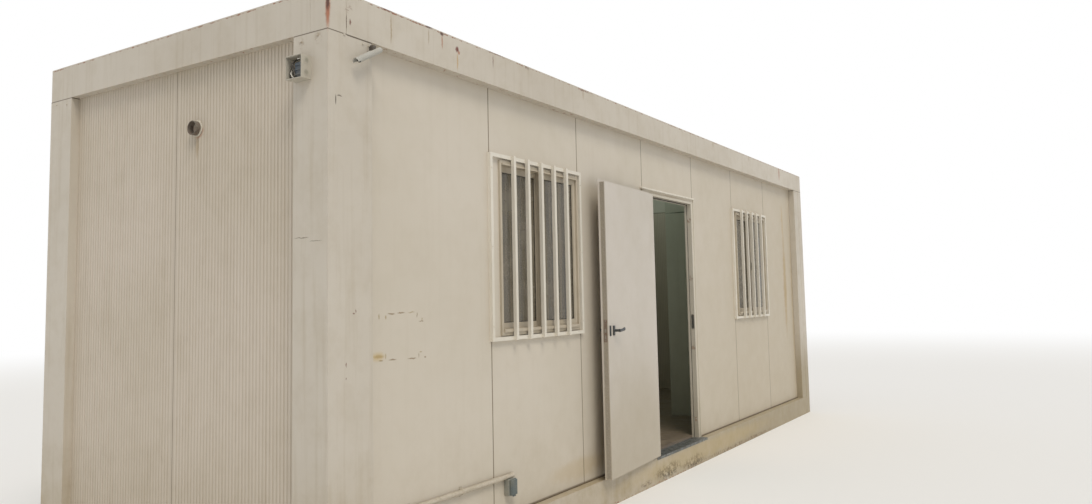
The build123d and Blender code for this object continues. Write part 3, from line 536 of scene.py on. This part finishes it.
# Door leaf: a foam-filled steel leaf in cream enamel, open against the wall. Its
# edge carries a pressed lip and a rusty mortice latch with its bolt and screws.
hinge_pin = Vector((-0.4595, -1.113, 0))
swing_open = (Matrix.Translation(hinge_pin) @ Matrix.Rotation(math.radians(-176), 4, "Z")
              @ Matrix.Translation(-hinge_pin))
leaf_front, leaf_back = -1.1055, -1.0625
leaf_hinge_edge, leaf_free_edge = -0.454, 0.4525
leaf_foot, leaf_head = 0.2, 2.184
handle_x, handle_z = leaf_free_edge - 0.086, leaf_foot + 0.975
dress(weathered_enamel(
    "cream_door_enamel", "#CAC2B7", "#C3BBAE", "#A0906F", runs=0.06, foot=0.55, rust_level=0.0,
    roughness=0.4, dust=0.07, marks=[((-0.91, -1.16, 0.2), (1.0, 0.3, 1.0), "#B0A590", 0.7, 0)],
), "door_leaf")

# The leaf's edge: a galvanised channel with a grey tone between the two faces
edge_grey = small_finish("grey_edge_primer", "#938A7C", "#A89F90", 120, 0.6, dust=0.4)
channel = join_parts([
    eased_bar((leaf_free_edge - 0.0004, leaf_front + 0.006, leaf_foot + 0.004),
              (leaf_free_edge + 0.0008, leaf_back - 0.005, leaf_head - 0.004), 0.0003),
    eased_bar((leaf_hinge_edge - 0.0008, leaf_front + 0.006, leaf_foot + 0.004),
              (leaf_hinge_edge + 0.0004, leaf_back - 0.005, leaf_head - 0.004), 0.0003),
])
channel.data.transform(swing_open)
settle(channel, "door_edge_channel", "door", edge_grey)

rusty_latch = small_finish("rusted_latch_steel", "#8B8378", "#7A4B34", 130, 0.5, metallic=0.6, relief=0.3,
                           dust=0.6, dust_colour="#8A5A44")
dress(rusty_latch, "door_latch_plate")
latch_mid = leaf_back - 0.02
bolt = eased_bar((leaf_free_edge + 0.001, latch_mid - 0.006, handle_z - 0.012),
                 (leaf_free_edge + 0.0044, latch_mid + 0.006, handle_z + 0.014), 0.001)
dead_bolt = eased_bar((leaf_free_edge + 0.001, latch_mid - 0.005, handle_z - 0.055),
                      (leaf_free_edge + 0.003, latch_mid + 0.005, handle_z - 0.03), 0.0008)
screw_head = turned([(0, 0.0042), (0.0006, 0.0044), (0.0014, 0.0036), (0.0018, 0.0016)], 12,
                    (0, 0, 0), (1, 0, 0))
latch_screws = repeat_at(screw_head, [(leaf_free_edge + 0.0012, latch_mid, handle_z + lift)
                                      for lift in (-0.066, 0.066)])
latch = join_parts([bolt, dead_bolt, latch_screws])
latch.data.transform(swing_open)
settle(latch, "door_latch_bolts", "door", plated_steel)


# Door handles: black zinc die-cast levers on upright roses, and a flat key bar
# inside. Stove-painted, worn smooth and slightly glossy at the lever ends.
def lever_set(face, outward):
    """A rose, a neck and a lever that bends back to the leaf at its rounded end."""
    low_y, high_y = sorted((face, face + outward * 0.009))
    rose = eased_bar((handle_x - 0.012, low_y, handle_z - 0.033),
                     (handle_x + 0.012, high_y, handle_z + 0.033), 0.0032)
    neck = turned([(0.008, 0.012), (0.012, 0.0095), (0.036, 0.009), (0.045, 0.0105), (0.0533, 0.009),
                   (0.0557, 0.005)],
                  20, (handle_x, face, handle_z), (0, outward, 0))
    bpy.ops.mesh.primitive_cylinder_add(vertices=20, radius=0.0105, depth=0.02,
                                        location=(0, 0, 0), rotation=(0, math.radians(-90), 0))
    lever = bpy.context.object
    bpy.ops.object.transform_apply(location=True, rotation=True, scale=True)
    lever.data.transform(Matrix.Diagonal((1, 0.7, 1, 1)))
    lever.data.transform(Matrix.Translation((handle_x, face + outward * 0.047, handle_z)))
    bpy.ops.object.mode_set(mode="EDIT")
    select_faces(lever, lambda end: end.normal.x < -0.9)
    for step, back, rise, grow in (
            (0.02, 0.0, 0.001, 0.96), (0.02, 0.0, 0.002, 0.98), (0.016, 0.001, 0.002, 1.06),
            (0.01, 0.001, 0.001, 1.14), (0.008, 0.001, 0.001, 1.0), (0.005, 0.0, 0.0, 0.82),
            (0.003, 0.0, 0.0, 0.6)):
        bpy.ops.mesh.extrude_region_move(TRANSFORM_OT_translate={"value": (-step, -outward * back, rise)})
        bpy.ops.transform.resize(value=(1, grow, grow))
    bpy.ops.object.mode_set(mode="OBJECT")
    return [rose, neck, lever]


handle_parts = lever_set(leaf_front, -1) + lever_set(leaf_back, 1)
key_bar = eased_bar((leaf_free_edge - 0.034, leaf_back, handle_z - 0.035),
                    (leaf_free_edge - 0.02, leaf_back + 0.009, handle_z + 0.035), 0.0035)
handles = join_parts(handle_parts + [key_bar])
bpy.ops.object.shade_smooth_by_angle(angle=math.radians(35))
handles.data.transform(swing_open)
black_cast = small_finish("black_painted_zinc_casting", "#2B2F33", "#3C4144", 500, 0.32, relief=0.06,
                          dust=0.3, dust_colour="#6A655A")
settle(handles, "lever_handles", "door", black_cast)
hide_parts("door_handles")


# Hinges: three lift-off barrel hinges in bare steel, their leaves screwed to the
# frame and to the door; grey with brown rust around the knuckles.
hinge_metal = small_finish("bare_hinge_steel", "#8C867B", "#6C5B4C", 180, 0.45, metallic=0.7, relief=0.2,
                           dust=0.6, dust_colour="#8B6A52")
dress(hinge_metal, "door_hinge_posts", "door_hinge_flags")
hinge_feet = (0.42, 1.192, 1.964)
frame_screw = turned([(0, 0.0036), (0.0006, 0.0038), (0.0013, 0.003), (0.0016, 0.0012)], 12, (0, 0, 0),
                     (0, -1, 0))
settle(repeat_at(frame_screw, [(-0.4595 - 0.024 + 0.005 * row, -1.1, foot + 0.01 + 0.02 * row)
                               for foot in hinge_feet for row in (0, 1)]),
       "hinge_frame_screws", "cabin", plated_steel)


# Windows: two sliding sashes in a pressed frame, in cream powder coat. Black
# gaskets hold the dusty float glass, and a small catch sits on each meeting stile.
# A cream coat set darker and browner than the wall's; the darkening is painted shade from the guard and the
# recess.
sash_coat_painted_shade = weathered_enamel(
    "cream_window_powder_coat", "#BDB29F", "#B0A591", "#857860", runs=0.3, foot=0.0, rust_level=0.0,
    roughness=0.42, dust=0.25,
)
dress(sash_coat_painted_shade, "window_frame_left", "window_frame_right", "window_sashes")
glazing, tree, shader, place = start_finish("dusty_float_glass")
# The brown-grey glass colour with paler vertical streaks is painted reflection; the film laid over it is
# dust.
drawn = add_node(tree, "ShaderNodeMapping", {"Vector": place, "Scale": (34, 34, 0.7)})
reflection_noise = add_node(tree, "ShaderNodeTexNoise", {"Vector": drawn, "Scale": 1, "Detail": 5, "Roughness": 0.6})
reflection_mask = add_node(tree, "ShaderNodeMapRange", {0: reflection_noise, 1: 0.38, 2: 0.68})
colour = add_node(tree, "ShaderNodeMix", {0: reflection_mask, 6: linear("#655E50"), 7: linear("#8A806E")}, 2,
                  data_type="RGBA")
film = add_node(tree, "ShaderNodeTexNoise", {"Vector": place, "Scale": 5, "Detail": 3, "Roughness": 0.5})
filmed = add_node(tree, "ShaderNodeMapRange", {0: film, 1: 0.45, 2: 0.75, 3: 0, 4: 0.35})
colour = add_node(tree, "ShaderNodeMix", {0: filmed, 6: colour, 7: linear("#A79E8C")}, 2, data_type="RGBA")
tree.links.new(colour, shader.inputs["Base Color"])
shader.inputs["IOR"].default_value = 1.52
cloudy = add_node(tree, "ShaderNodeMapRange", {0: film, 1: 0.35, 2: 0.75, 3: 0.1, 4: 0.4})
tree.links.new(cloudy, shader.inputs["Roughness"])
shader.inputs["Alpha"].default_value = 0.72
dress(glazing, "window_glass")

sash_width, sash_centre_z, sash_height, sash_rail = 0.442, 1.705, 0.95, 0.028
gaskets = []
catches = []
for panel_start in (-2.5, 1.5):
    centre = panel_start + 0.535
    for shift, track in ((-1, -1.053), (1, -1.079)):
        middle = centre + shift * (0.856 - sash_width) / 2
        glass_half_x, glass_half_z = sash_width / 2 - sash_rail - 0.006, sash_height / 2 - sash_rail - 0.006
        lines = [
            ((-glass_half_x - 0.001, -glass_half_z - 0.001), (-glass_half_x + 0.004, glass_half_z + 0.001)),
            ((glass_half_x - 0.004, -glass_half_z - 0.001), (glass_half_x + 0.001, glass_half_z + 0.001)),
            ((-glass_half_x, -glass_half_z - 0.001), (glass_half_x, -glass_half_z + 0.004)),
            ((-glass_half_x, glass_half_z - 0.004), (glass_half_x, glass_half_z + 0.001)),
        ]
        for (low_x, low_z), (high_x, high_z) in lines:
            gaskets.append(eased_bar((middle + low_x, track - 0.006, sash_centre_z + low_z),
                                     (middle + high_x, track - 0.0022, sash_centre_z + high_z), 0.0008))
    catches.append(eased_bar((centre + 0.004, -1.0955, 1.64), (centre + 0.016, -1.0905, 1.72), 0.002))
settle(join_parts(gaskets), "glazing_gaskets", "cabin", black_rubber)
settle(join_parts(catches), "sash_catches", "cabin", black_cast)


# Window guards: square steel bars welded to a frame, in paler enamel than the
# wall, screwed to the panel through the frame bars.
guard_enamel = weathered_enamel(
    "pale_guard_enamel", "#DED8CB", "#D6CFC0", "#A0927A", runs=0.15, foot=0.0, rust_level=0.05,
    roughness=0.4,
)
dress(guard_enamel, "window_guard_left", "window_guard_right")
guard_screw = turned([(0, 0.0062), (0.0012, 0.0062), (0.0016, 0.0044), (0.0044, 0.0042), (0.005, 0.003)], 6,
                     (0, 0, 0), (0, -1, 0))
guard_front = -1.091 - 0.022
settle(repeat_at(guard_screw, [
    (panel_start + 0.5 + side * 0.504, guard_front, level)
    for panel_start in (-2.5, 1.5) for side in (-1, 1) for level in (1.25, 1.7, 2.15)
]), "guard_screws", "cabin", guard_enamel)


# Floor, ceiling and partition inside: brown vinyl on board, and the same foam
# panels as the walls in a pale olive coat.
vinyl, tree, shader, place = start_finish("brown_vinyl_floor")
board = add_node(tree, "ShaderNodeMapping", {"Vector": place, "Scale": (1, 9, 9)})
wood = add_node(tree, "ShaderNodeTexNoise", {"Vector": board, "Scale": 6, "Detail": 8, "Roughness": 0.7})
colour = add_node(tree, "ShaderNodeMix", {0: wood, 6: linear("#4B4139"), 7: linear("#7A6C5E")}, 2,
                  data_type="RGBA")
tread = add_node(tree, "ShaderNodeTexNoise", {"Vector": place, "Scale": 5, "Detail": 7, "Roughness": 0.7})
dusted = add_node(tree, "ShaderNodeMapRange", {0: tread, 1: 0.4, 2: 0.7, 3: 0.1, 4: 0.65})
colour = add_node(tree, "ShaderNodeMix", {0: dusted, 6: colour, 7: linear("#8F8069")}, 2, data_type="RGBA")
tree.links.new(colour, shader.inputs["Base Color"])
rough = add_node(tree, "ShaderNodeMapRange", {0: dusted, 1: 0.1, 2: 0.65, 3: 0.35, 4: 0.7})
tree.links.new(rough, shader.inputs["Roughness"])
bump = add_node(tree, "ShaderNodeBump", {"Height": wood, "Strength": 0.1, "Distance": 0.0005})
tree.links.new(bump, shader.inputs["Normal"])
dress(vinyl, "floor_deck")
dress(weathered_enamel(
    "pale_inner_panel_coat", "#D3D1C2", "#C9C7B7", "#7E765E", runs=0.08, foot=0, rust_level=0, roughness=0.5,
), "ceiling_panel", "inner_partition_head")
dress(weathered_enamel(
    "olive_cream_inner_coat", "#BFC0AE", "#B3B4A1", "#7E765E", runs=0.12, foot=0.35, rust_level=0,
    roughness=0.5,
    # Pale band at the top: painted light for a lit ceiling; dark line at its foot: painted shade at the
    # ceiling corner.
    marks=[((1.5, -0.72, 2.39), (0.03, 0.42, 0.15), "#D3D1C2", 0.95, 0),
           ((1.5, -0.72, 2.238), (0.03, 0.45, 0.009), "#33382F", 0.85, 0)],
), "inner_partition_sides")
# Light that the ground and the far windows throw into the rooms
room_light = bpy.data.objects.new("room_bounce", bpy.data.lights.new("room_bounce", "AREA"))
room_light.data.shape = "RECTANGLE"
room_light.data.size, room_light.data.size_y = 4.4, 1.6
room_light.data.energy = 12
room_light.data.color = linear("#DAEAE2")[:3]
room_light.location = (1.5, 0.1, 2.5)
room_light.visible_camera = False
room_light.visible_glossy = False
bpy.context.scene.collection.objects.link(room_light)


# Roof: ribbed zinc-coated sheet, spangled grey and dusty, screwed through its
# ribs to the purlins with washered hexagon screws.
zinc, tree, shader, place = start_finish("spangled_zinc_sheet")
spangle = add_node(tree, "ShaderNodeTexVoronoi", {"Vector": place, "Scale": 70}, "Color")
tone = add_node(tree, "ShaderNodeSeparateColor", {0: spangle})
colour = add_node(tree, "ShaderNodeMix", {0: tone, 6: linear("#8F9294"), 7: linear("#A9ACAC")}, 2,
                  data_type="RGBA")
settled = add_node(tree, "ShaderNodeTexNoise", {"Vector": place, "Scale": 3, "Detail": 9, "Roughness": 0.68})
dusted = add_node(tree, "ShaderNodeMapRange", {0: settled, 1: 0.38, 2: 0.66, 3: 0.2, 4: 0.9})
colour = add_node(tree, "ShaderNodeMix", {0: dusted, 6: colour, 7: linear("#9B8F78")}, 2, data_type="RGBA")
spot = add_node(tree, "ShaderNodeTexNoise", {"Vector": place, "Scale": 11, "Detail": 8, "Roughness": 0.75})
rusty = add_node(tree, "ShaderNodeMapRange", {0: spot, 1: 0.62, 2: 0.7})
colour = add_node(tree, "ShaderNodeMix", {0: rusty, 6: colour, 7: linear("#8A5A40")}, 2, data_type="RGBA")
tree.links.new(colour, shader.inputs["Base Color"])
shader.inputs["Metallic"].default_value = 0.55
rough = add_node(tree, "ShaderNodeMapRange", {0: dusted, 1: 0.2, 2: 0.9, 3: 0.38, 4: 0.8})
tree.links.new(rough, shader.inputs["Roughness"])
bump = add_node(tree, "ShaderNodeBump", {"Height": settled, "Strength": 0.15, "Distance": 0.002})
tree.links.new(bump, shader.inputs["Normal"])
dress(zinc, "roof_sheet")
rib_top, rib_pitch = 2.7815, 0.3
washer = turned([(0, 0.0085), (0.0016, 0.0085), (0.002, 0.0072)], 12, (0, 0, 0), (0, 0, 1))
hexagon = turned([(0.0018, 0.0046), (0.0058, 0.0046), (0.0066, 0.0034)], 6, (0, 0, 0), (0, 0, 1))
roof_screw = join_parts([washer, hexagon])
screw_rows = [-1.0, -0.5, 0.0, 0.5, 1.0]
rib_centres = [rib_pitch * index for index in range(-11, 12)]
settle(repeat_at(roof_screw, [(x, y, rib_top) for x in rib_centres for y in screw_rows]),
       "roof_sheet_screws", "cabin", plated_steel)


# Panel joints: the tongues of neighbouring panels meet in a narrow groove, run
# with brown-black sealant, and a dirty bead closes the wall foot on the rail.
joint_sealant = small_finish("dirty_joint_sealant", "#5B4E3C", "#74644C", 140, 0.75, relief=0.3, dust=0.4,
                             dust_colour="#8A7A5E")
wall_foot, wall_head, over_door_foot = 0.19, 2.61, 2.242
joint_half, groove_floor, groove_mouth = 0.0018, 1.045, 1.0895
joints = []
for index in range(1, 7):
    low, high = -3.5 + index - joint_half, -3.5 + index + joint_half
    front_foot = over_door_foot if index in (3, 4) else wall_foot
    joints.append(eased_bar((low, -groove_mouth, front_foot), (high, -groove_floor, wall_head), 0.0004))
    joints.append(eased_bar((low, groove_floor, wall_foot), (high, groove_mouth, wall_head), 0.0004))
for end in (-1, 1):
    low, high = sorted((end * 3.7275, end * 3.685))
    joints.append(eased_bar((low, -joint_half, wall_foot), (high, joint_half, wall_head), 0.0004))
settle(join_parts(joints), "panel_joint_sealant", "cabin", joint_sealant)
bead_low, bead_high = 0.1895, 0.1955
beads = [eased_bar((low_x, low_y, bead_low), (high_x, high_y, bead_high), 0.002)
         for low_x, low_y, high_x, high_y in (
             (-3.5, -1.096, -0.512, -1.0905), (0.512, -1.096, 3.5, -1.0905), (-3.5, 1.0905, 3.5, 1.096),
             (-3.735, -0.935, -3.7285, 0.935), (3.7285, -0.935, 3.735, 0.935))]
settle(join_parts(beads), "wall_foot_sealant", "cabin", joint_sealant)


# Weld beads: one ripple every 5 mm, laid flush in the grooves beside the corner
# blocks and round the post ends, then painted over with the frame.
def weld_bead(start, end):
    """A row of overlapping flat ripples between two points."""
    start, end = Vector(start), Vector(end)
    step = 0.005
    count = int((end - start).length / step)
    bpy.ops.mesh.primitive_uv_sphere_add(segments=8, ring_count=4, radius=0.0034, location=start)
    ripple = bpy.context.object
    bpy.ops.object.transform_apply(location=True, rotation=True, scale=True)
    row = ripple.modifiers.new("row", "ARRAY")
    row.count = count
    row.use_relative_offset = False
    row.use_constant_offset = True
    row.constant_offset_displace = (end - start) / count
    bpy.ops.object.modifier_apply(modifier="row")
    return ripple


half_x, half_y, block, sink = 3.775, 1.155, 0.113, 0.0036
bead_rows = []
for side_x in (-1, 1):
    for side_y in (-1, 1):
        corner = (side_x * (half_x - sink), side_y * (half_y - sink))
        for low, high in ((0.006, 0.184), (2.616, 2.794)):
            seam_x, seam_y = side_x * (half_x - block), side_y * (half_y - block)
            bead_rows.append(weld_bead((seam_x, corner[1], low), (seam_x, corner[1], high)))
            bead_rows.append(weld_bead((corner[0], seam_y, low), (corner[0], seam_y, high)))
welds = join_parts(bead_rows)
bpy.ops.object.shade_smooth()
settle(welds, "corner_weld_beads", "cabin", cream_enamel)

post_screw = turned([(0, 0.0068), (0.0011, 0.0068), (0.0014, 0.005), (0.0042, 0.0047), (0.005, 0.0034)], 6,
                    (0, 0, 0), (0, 0, 1))
face_turns = {
    "front": Matrix.Rotation(math.radians(90), 4, "X"),
    "left": Matrix.Rotation(math.radians(-90), 4, "Y"),
}
screw_places = [Matrix.Translation(spot) @ face_turns["front"] for spot in (
    (-3.677, -1.155, 2.603), (-3.559, -1.152, 2.59), (-3.52, -1.152, 2.59),
    (3.677, -1.155, 2.603), (3.559, -1.152, 2.59), (3.52, -1.152, 2.59))]
screw_places += [Matrix.Translation(spot) @ face_turns["left"] for spot in (
    (-3.775, -0.985, 2.576), (-3.775, -1.094, 2.587), (-3.775, 0.985, 2.576), (-3.775, 1.094, 2.587))]
settle(repeat_at(post_screw, screw_places), "post_head_screws", "cabin", cream_enamel)


# Junction box: a moulded cream box screwed to the end face of the near post. Its
# cover is gone, so the dark terminal block and the ends of the wires show.
box_y, box_z = -1.001, 2.446
dress(weathered_enamel(
    "aged_cream_box_plastic", "#C2BDB0", "#B2AB9C", "#85795F", runs=0.2, foot=0, rust_level=0, roughness=0.5,
    marks=[((-3.804, box_y - 0.051, box_z + lift), (0.016, 0.008, 0.016), "#878475", 0.7, 0)
           for lift in (-0.0265, 0.0265)],
), "junction_box")
terminal_parts = [eased_bar((-3.82, box_y - 0.042, box_z - 0.043), (-3.7785, box_y + 0.004, box_z + 0.022),
                            0.002)]
terminal_parts += [eased_bar((-3.824, box_y - 0.04, box_z + row),
                             (-3.819, box_y + 0.002, box_z + row + 0.006), 0.001)
                   for row in (-0.036, -0.015, 0.006)]
terminal = join_parts(terminal_parts)
blue_black = small_finish("blue_black_terminal_plastic", "#39434D", "#4A545C", 300, 0.4, dust=0.3)
settle(terminal, "terminal_block", "cabin", blue_black)


def bent_wire(points, radius, name, finish):
    """A stiff insulated wire through a few points, made a mesh."""
    curve = bpy.data.curves.new(name, "CURVE")
    curve.dimensions = "3D"
    curve.bevel_depth = radius
    curve.bevel_resolution = 2
    curve.use_fill_caps = True
    spline = curve.splines.new("NURBS")
    spline.points.add(len(points) - 1)
    for knot, point in zip(spline.points, points):
        knot.co = (*point, 1)
    spline.order_u = 3
    spline.use_endpoint_u = True
    wire = bpy.data.objects.new(name, curve)
    bpy.context.scene.collection.objects.link(wire)
    bpy.ops.object.select_all(action="DESELECT")
    wire.select_set(True)
    bpy.context.view_layer.objects.active = wire
    bpy.ops.object.convert(target="MESH")
    return settle(wire, name, "cabin", finish)


dark_sheath = small_finish("dark_wire_sheath", "#3B3631", "#4C463F", 400, 0.5, dust=0.35)
white_sheath = small_finish("white_wire_sheath", "#D9D5CB", "#BEB8A9", 400, 0.45, dust=0.3)
bent_wire([(-3.782, box_y + 0.02, box_z + 0.048), (-3.806, box_y + 0.02, box_z + 0.04),
           (-3.822, box_y + 0.018, box_z + 0.016), (-3.823, box_y + 0.004, box_z - 0.02),
           (-3.824, box_y - 0.002, box_z - 0.042)], 0.0028, "junction_wire_1", dark_sheath)
bent_wire([(-3.786, box_y + 0.03, box_z + 0.045), (-3.812, box_y + 0.024, box_z + 0.03),
           (-3.822, box_y + 0.026, box_z + 0.005), (-3.82, box_y + 0.04, box_z - 0.03),
           (-3.81, box_y + 0.043, box_z - 0.047)], 0.0028, "junction_wire_2", dark_sheath)
bent_wire([(-3.81, box_y + 0.034, box_z - 0.008), (-3.822, box_y + 0.03, box_z - 0.02),
           (-3.822, box_y + 0.024, box_z - 0.036), (-3.815, box_y + 0.012, box_z - 0.047)],
          0.0026, "junction_wire_3", white_sheath)
bent_wire([(-3.782, box_y - 0.03, box_z + 0.043), (-3.812, box_y - 0.03, box_z + 0.04),
           (-3.826, box_y - 0.026, box_z + 0.034), (-3.824, box_y - 0.012, box_z + 0.036),
           (-3.8, box_y - 0.008, box_z + 0.044)], 0.0026, "junction_wire_4", white_sheath)


# Socket box: grey moulded body with a dark hinged weather cover, screwed to the
# first wall panel joint and fed by the conduit along the wall.
body_grey = small_finish("grey_socket_plastic", "#8E9089", "#7C7D75", 160, 0.48, dust=0.45)
cover_dark = small_finish("dark_grey_cover_plastic", "#56605F", "#48504F", 160, 0.35, dust=0.35)
socket_x, socket_z = -2.371, 0.346
socket_body = eased_bar((socket_x - 0.033, -1.126, socket_z - 0.046),
                        (socket_x + 0.033, -1.091, socket_z + 0.046),
                        0.004)
settle(socket_body, "socket_body", "cabin", body_grey)
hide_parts("socket_box")
cover = eased_bar((socket_x - 0.031, -1.141, socket_z - 0.043),
                  (socket_x + 0.031, -1.1255, socket_z + 0.043), 0.005)
bpy.ops.object.mode_set(mode="EDIT")
select_faces(cover, lambda face: face.normal.y < -0.95 and face.area > 0.001)
bpy.ops.mesh.inset(thickness=0.006, depth=0)
bpy.ops.mesh.extrude_region_move(TRANSFORM_OT_translate={"value": (0, -0.001, 0)})
bpy.ops.mesh.inset(thickness=0.003, depth=0)
bpy.ops.object.mode_set(mode="OBJECT")
hinge_rod = turned([(0, 0.0032), (0.0006, 0.0036), (0.05, 0.0036), (0.0506, 0.0032)], 12,
                   (socket_x - 0.0253, -1.131, socket_z + 0.0435), (1, 0, 0))
thumb_lip = eased_bar((socket_x - 0.012, -1.142, socket_z - 0.049),
                      (socket_x + 0.012, -1.132, socket_z - 0.042), 0.0015)
settle(join_parts([cover, hinge_rod, thumb_lip]), "socket_cover", "cabin", cover_dark)

conduit_cream = small_finish("aged_pvc_conduit", "#BDB3A2", "#A99D88", 60, 0.42, relief=0.05, dust=0.5)
dress(conduit_cream, "wall_conduit")
pipe_y, pipe_z = -1.106, 0.405
elbow = turned([(0, 0.0128), (0.004, 0.0152), (0.02, 0.0152), (0.026, 0.013), (0.0295, 0.008)], 20,
               (-2.356, pipe_y, pipe_z), (1, 0, 0))
drop = turned([(0, 0.012), (0.014, 0.012), (0.02, 0.0105)], 20, (-2.344, pipe_y, pipe_z - 0.002), (0, 0, -1))
settle(join_parts([elbow, drop]), "conduit_end_elbow", "cabin", conduit_cream)


# Watch camera: a small tube camera in dull silver paint on a dark jointed
# bracket, with a sun hood over the tube and a dark window in its front.
camera_pivot = Vector((-3.52, -1.189, 2.552))
stem_foot = (camera_pivot.x, -1.152, camera_pivot.z)
aim = Vector((-math.cos(math.radians(30)), 0, -math.sin(math.radians(30))))
silver_paint = small_finish("dull_silver_camera_paint", "#B3B1A8", "#9F9C92", 220, 0.42, dust=0.4)
bracket_dark = small_finish("dark_camera_bracket", "#4A4440", "#5B534C", 220, 0.5, dust=0.4)
lens_black = small_finish("smoked_lens_window", "#1C1D1F", "#26282A", 300, 0.12, relief=0.0, dust=0.15)


def with_finish(part, finish):
    """Give a part of a joined piece its own finish."""
    part.data.materials.append(finish)
    return part


tube_back = camera_pivot - aim * 0.048
camera_parts = [
    with_finish(turned([(0, 0.0085), (0.0025, 0.0128), (0.009, 0.014), (0.16, 0.014), (0.163, 0.0131)], 32,
                       tube_back, aim), silver_paint),
    with_finish(turned([(0.1615, 0.012), (0.1635, 0.012), (0.1645, 0.0105), (0.165, 0.0093)], 32,
                       tube_back, aim), lens_black),
    with_finish(turned([(0, 0.0135), (0.0035, 0.0135), (0.005, 0.0115)], 24, stem_foot, (0, -1, 0)),
                bracket_dark),
    with_finish(turned([(0.004, 0.005), (0.011, 0.005), (0.0135, 0.0085), (0.021, 0.0085), (0.0245, 0.006)],
                       20, stem_foot, (0, -1, 0)), bracket_dark),
    with_finish(eased_bar((-3.516, -1.178, 2.563), (-3.498, -1.1515, 2.594), 0.002), bracket_dark),
]
bpy.ops.mesh.primitive_cylinder_add(vertices=36, radius=0.0158, depth=0.115, end_fill_type="NOTHING")
hood = bpy.context.object
bpy.ops.object.mode_set(mode="EDIT")
bpy.ops.mesh.select_all(action="SELECT")
bpy.ops.mesh.bisect(plane_co=(0.0045, 0, 0), plane_no=(1, 0, 0), clear_outer=True)
bpy.ops.object.mode_set(mode="OBJECT")
wall = hood.modifiers.new("wall", "SOLIDIFY")
wall.thickness = 0.0012
wall.offset = 0
bpy.ops.object.modifier_apply(modifier="wall")
sideways = Vector((0, 1, 0))
down_face = sideways.cross(aim)
down_face = down_face if down_face.z < 0 else -down_face
turn = Matrix((down_face, aim.cross(down_face), aim)).transposed().to_4x4()
hood.data.transform(Matrix.Translation(camera_pivot + aim * 0.0805) @ turn)
camera_parts.append(with_finish(hood, silver_paint))
small_camera = join_parts(camera_parts)
bpy.ops.object.shade_smooth_by_angle(angle=math.radians(35))
settle(small_camera, "tube_camera", "cabin")
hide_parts("watch_camera")


# Vent stub: a cut length of steel pipe through the end wall, rusty inside, with
# a smeared ring of sealant where it leaves the panel.
pipe_rust = small_finish("rusted_pipe_steel", "#7C756B", "#5C4C40", 90, 0.7, metallic=0.2, relief=0.5,
                         dust=0.45, dust_colour="#6E5240")
dress(pipe_rust, "vent_stub")
bpy.ops.mesh.primitive_torus_add(major_radius=0.0375, minor_radius=0.005, major_segments=40,
                                 minor_segments=10,
                                 location=(-3.7305, -0.17, 2.292), rotation=(0, math.radians(90), 0))
collar = bpy.context.object
bpy.ops.object.transform_apply(location=True, rotation=True, scale=True)
smear = bpy.data.textures.new("sealant_smear", "CLOUDS")
smear.noise_scale = 0.02
uneven = collar.modifiers.new("uneven", "DISPLACE")
uneven.texture = smear
uneven.strength = 0.003
bpy.ops.object.modifier_apply(modifier="uneven")
bpy.ops.object.shade_smooth()
pale_sealant = small_finish("dusty_white_sealant", "#CFC9BB", "#B3A488", 120, 0.55, relief=0.3, dust=0.3)
settle(collar, "vent_sealant_ring", "cabin", pale_sealant)
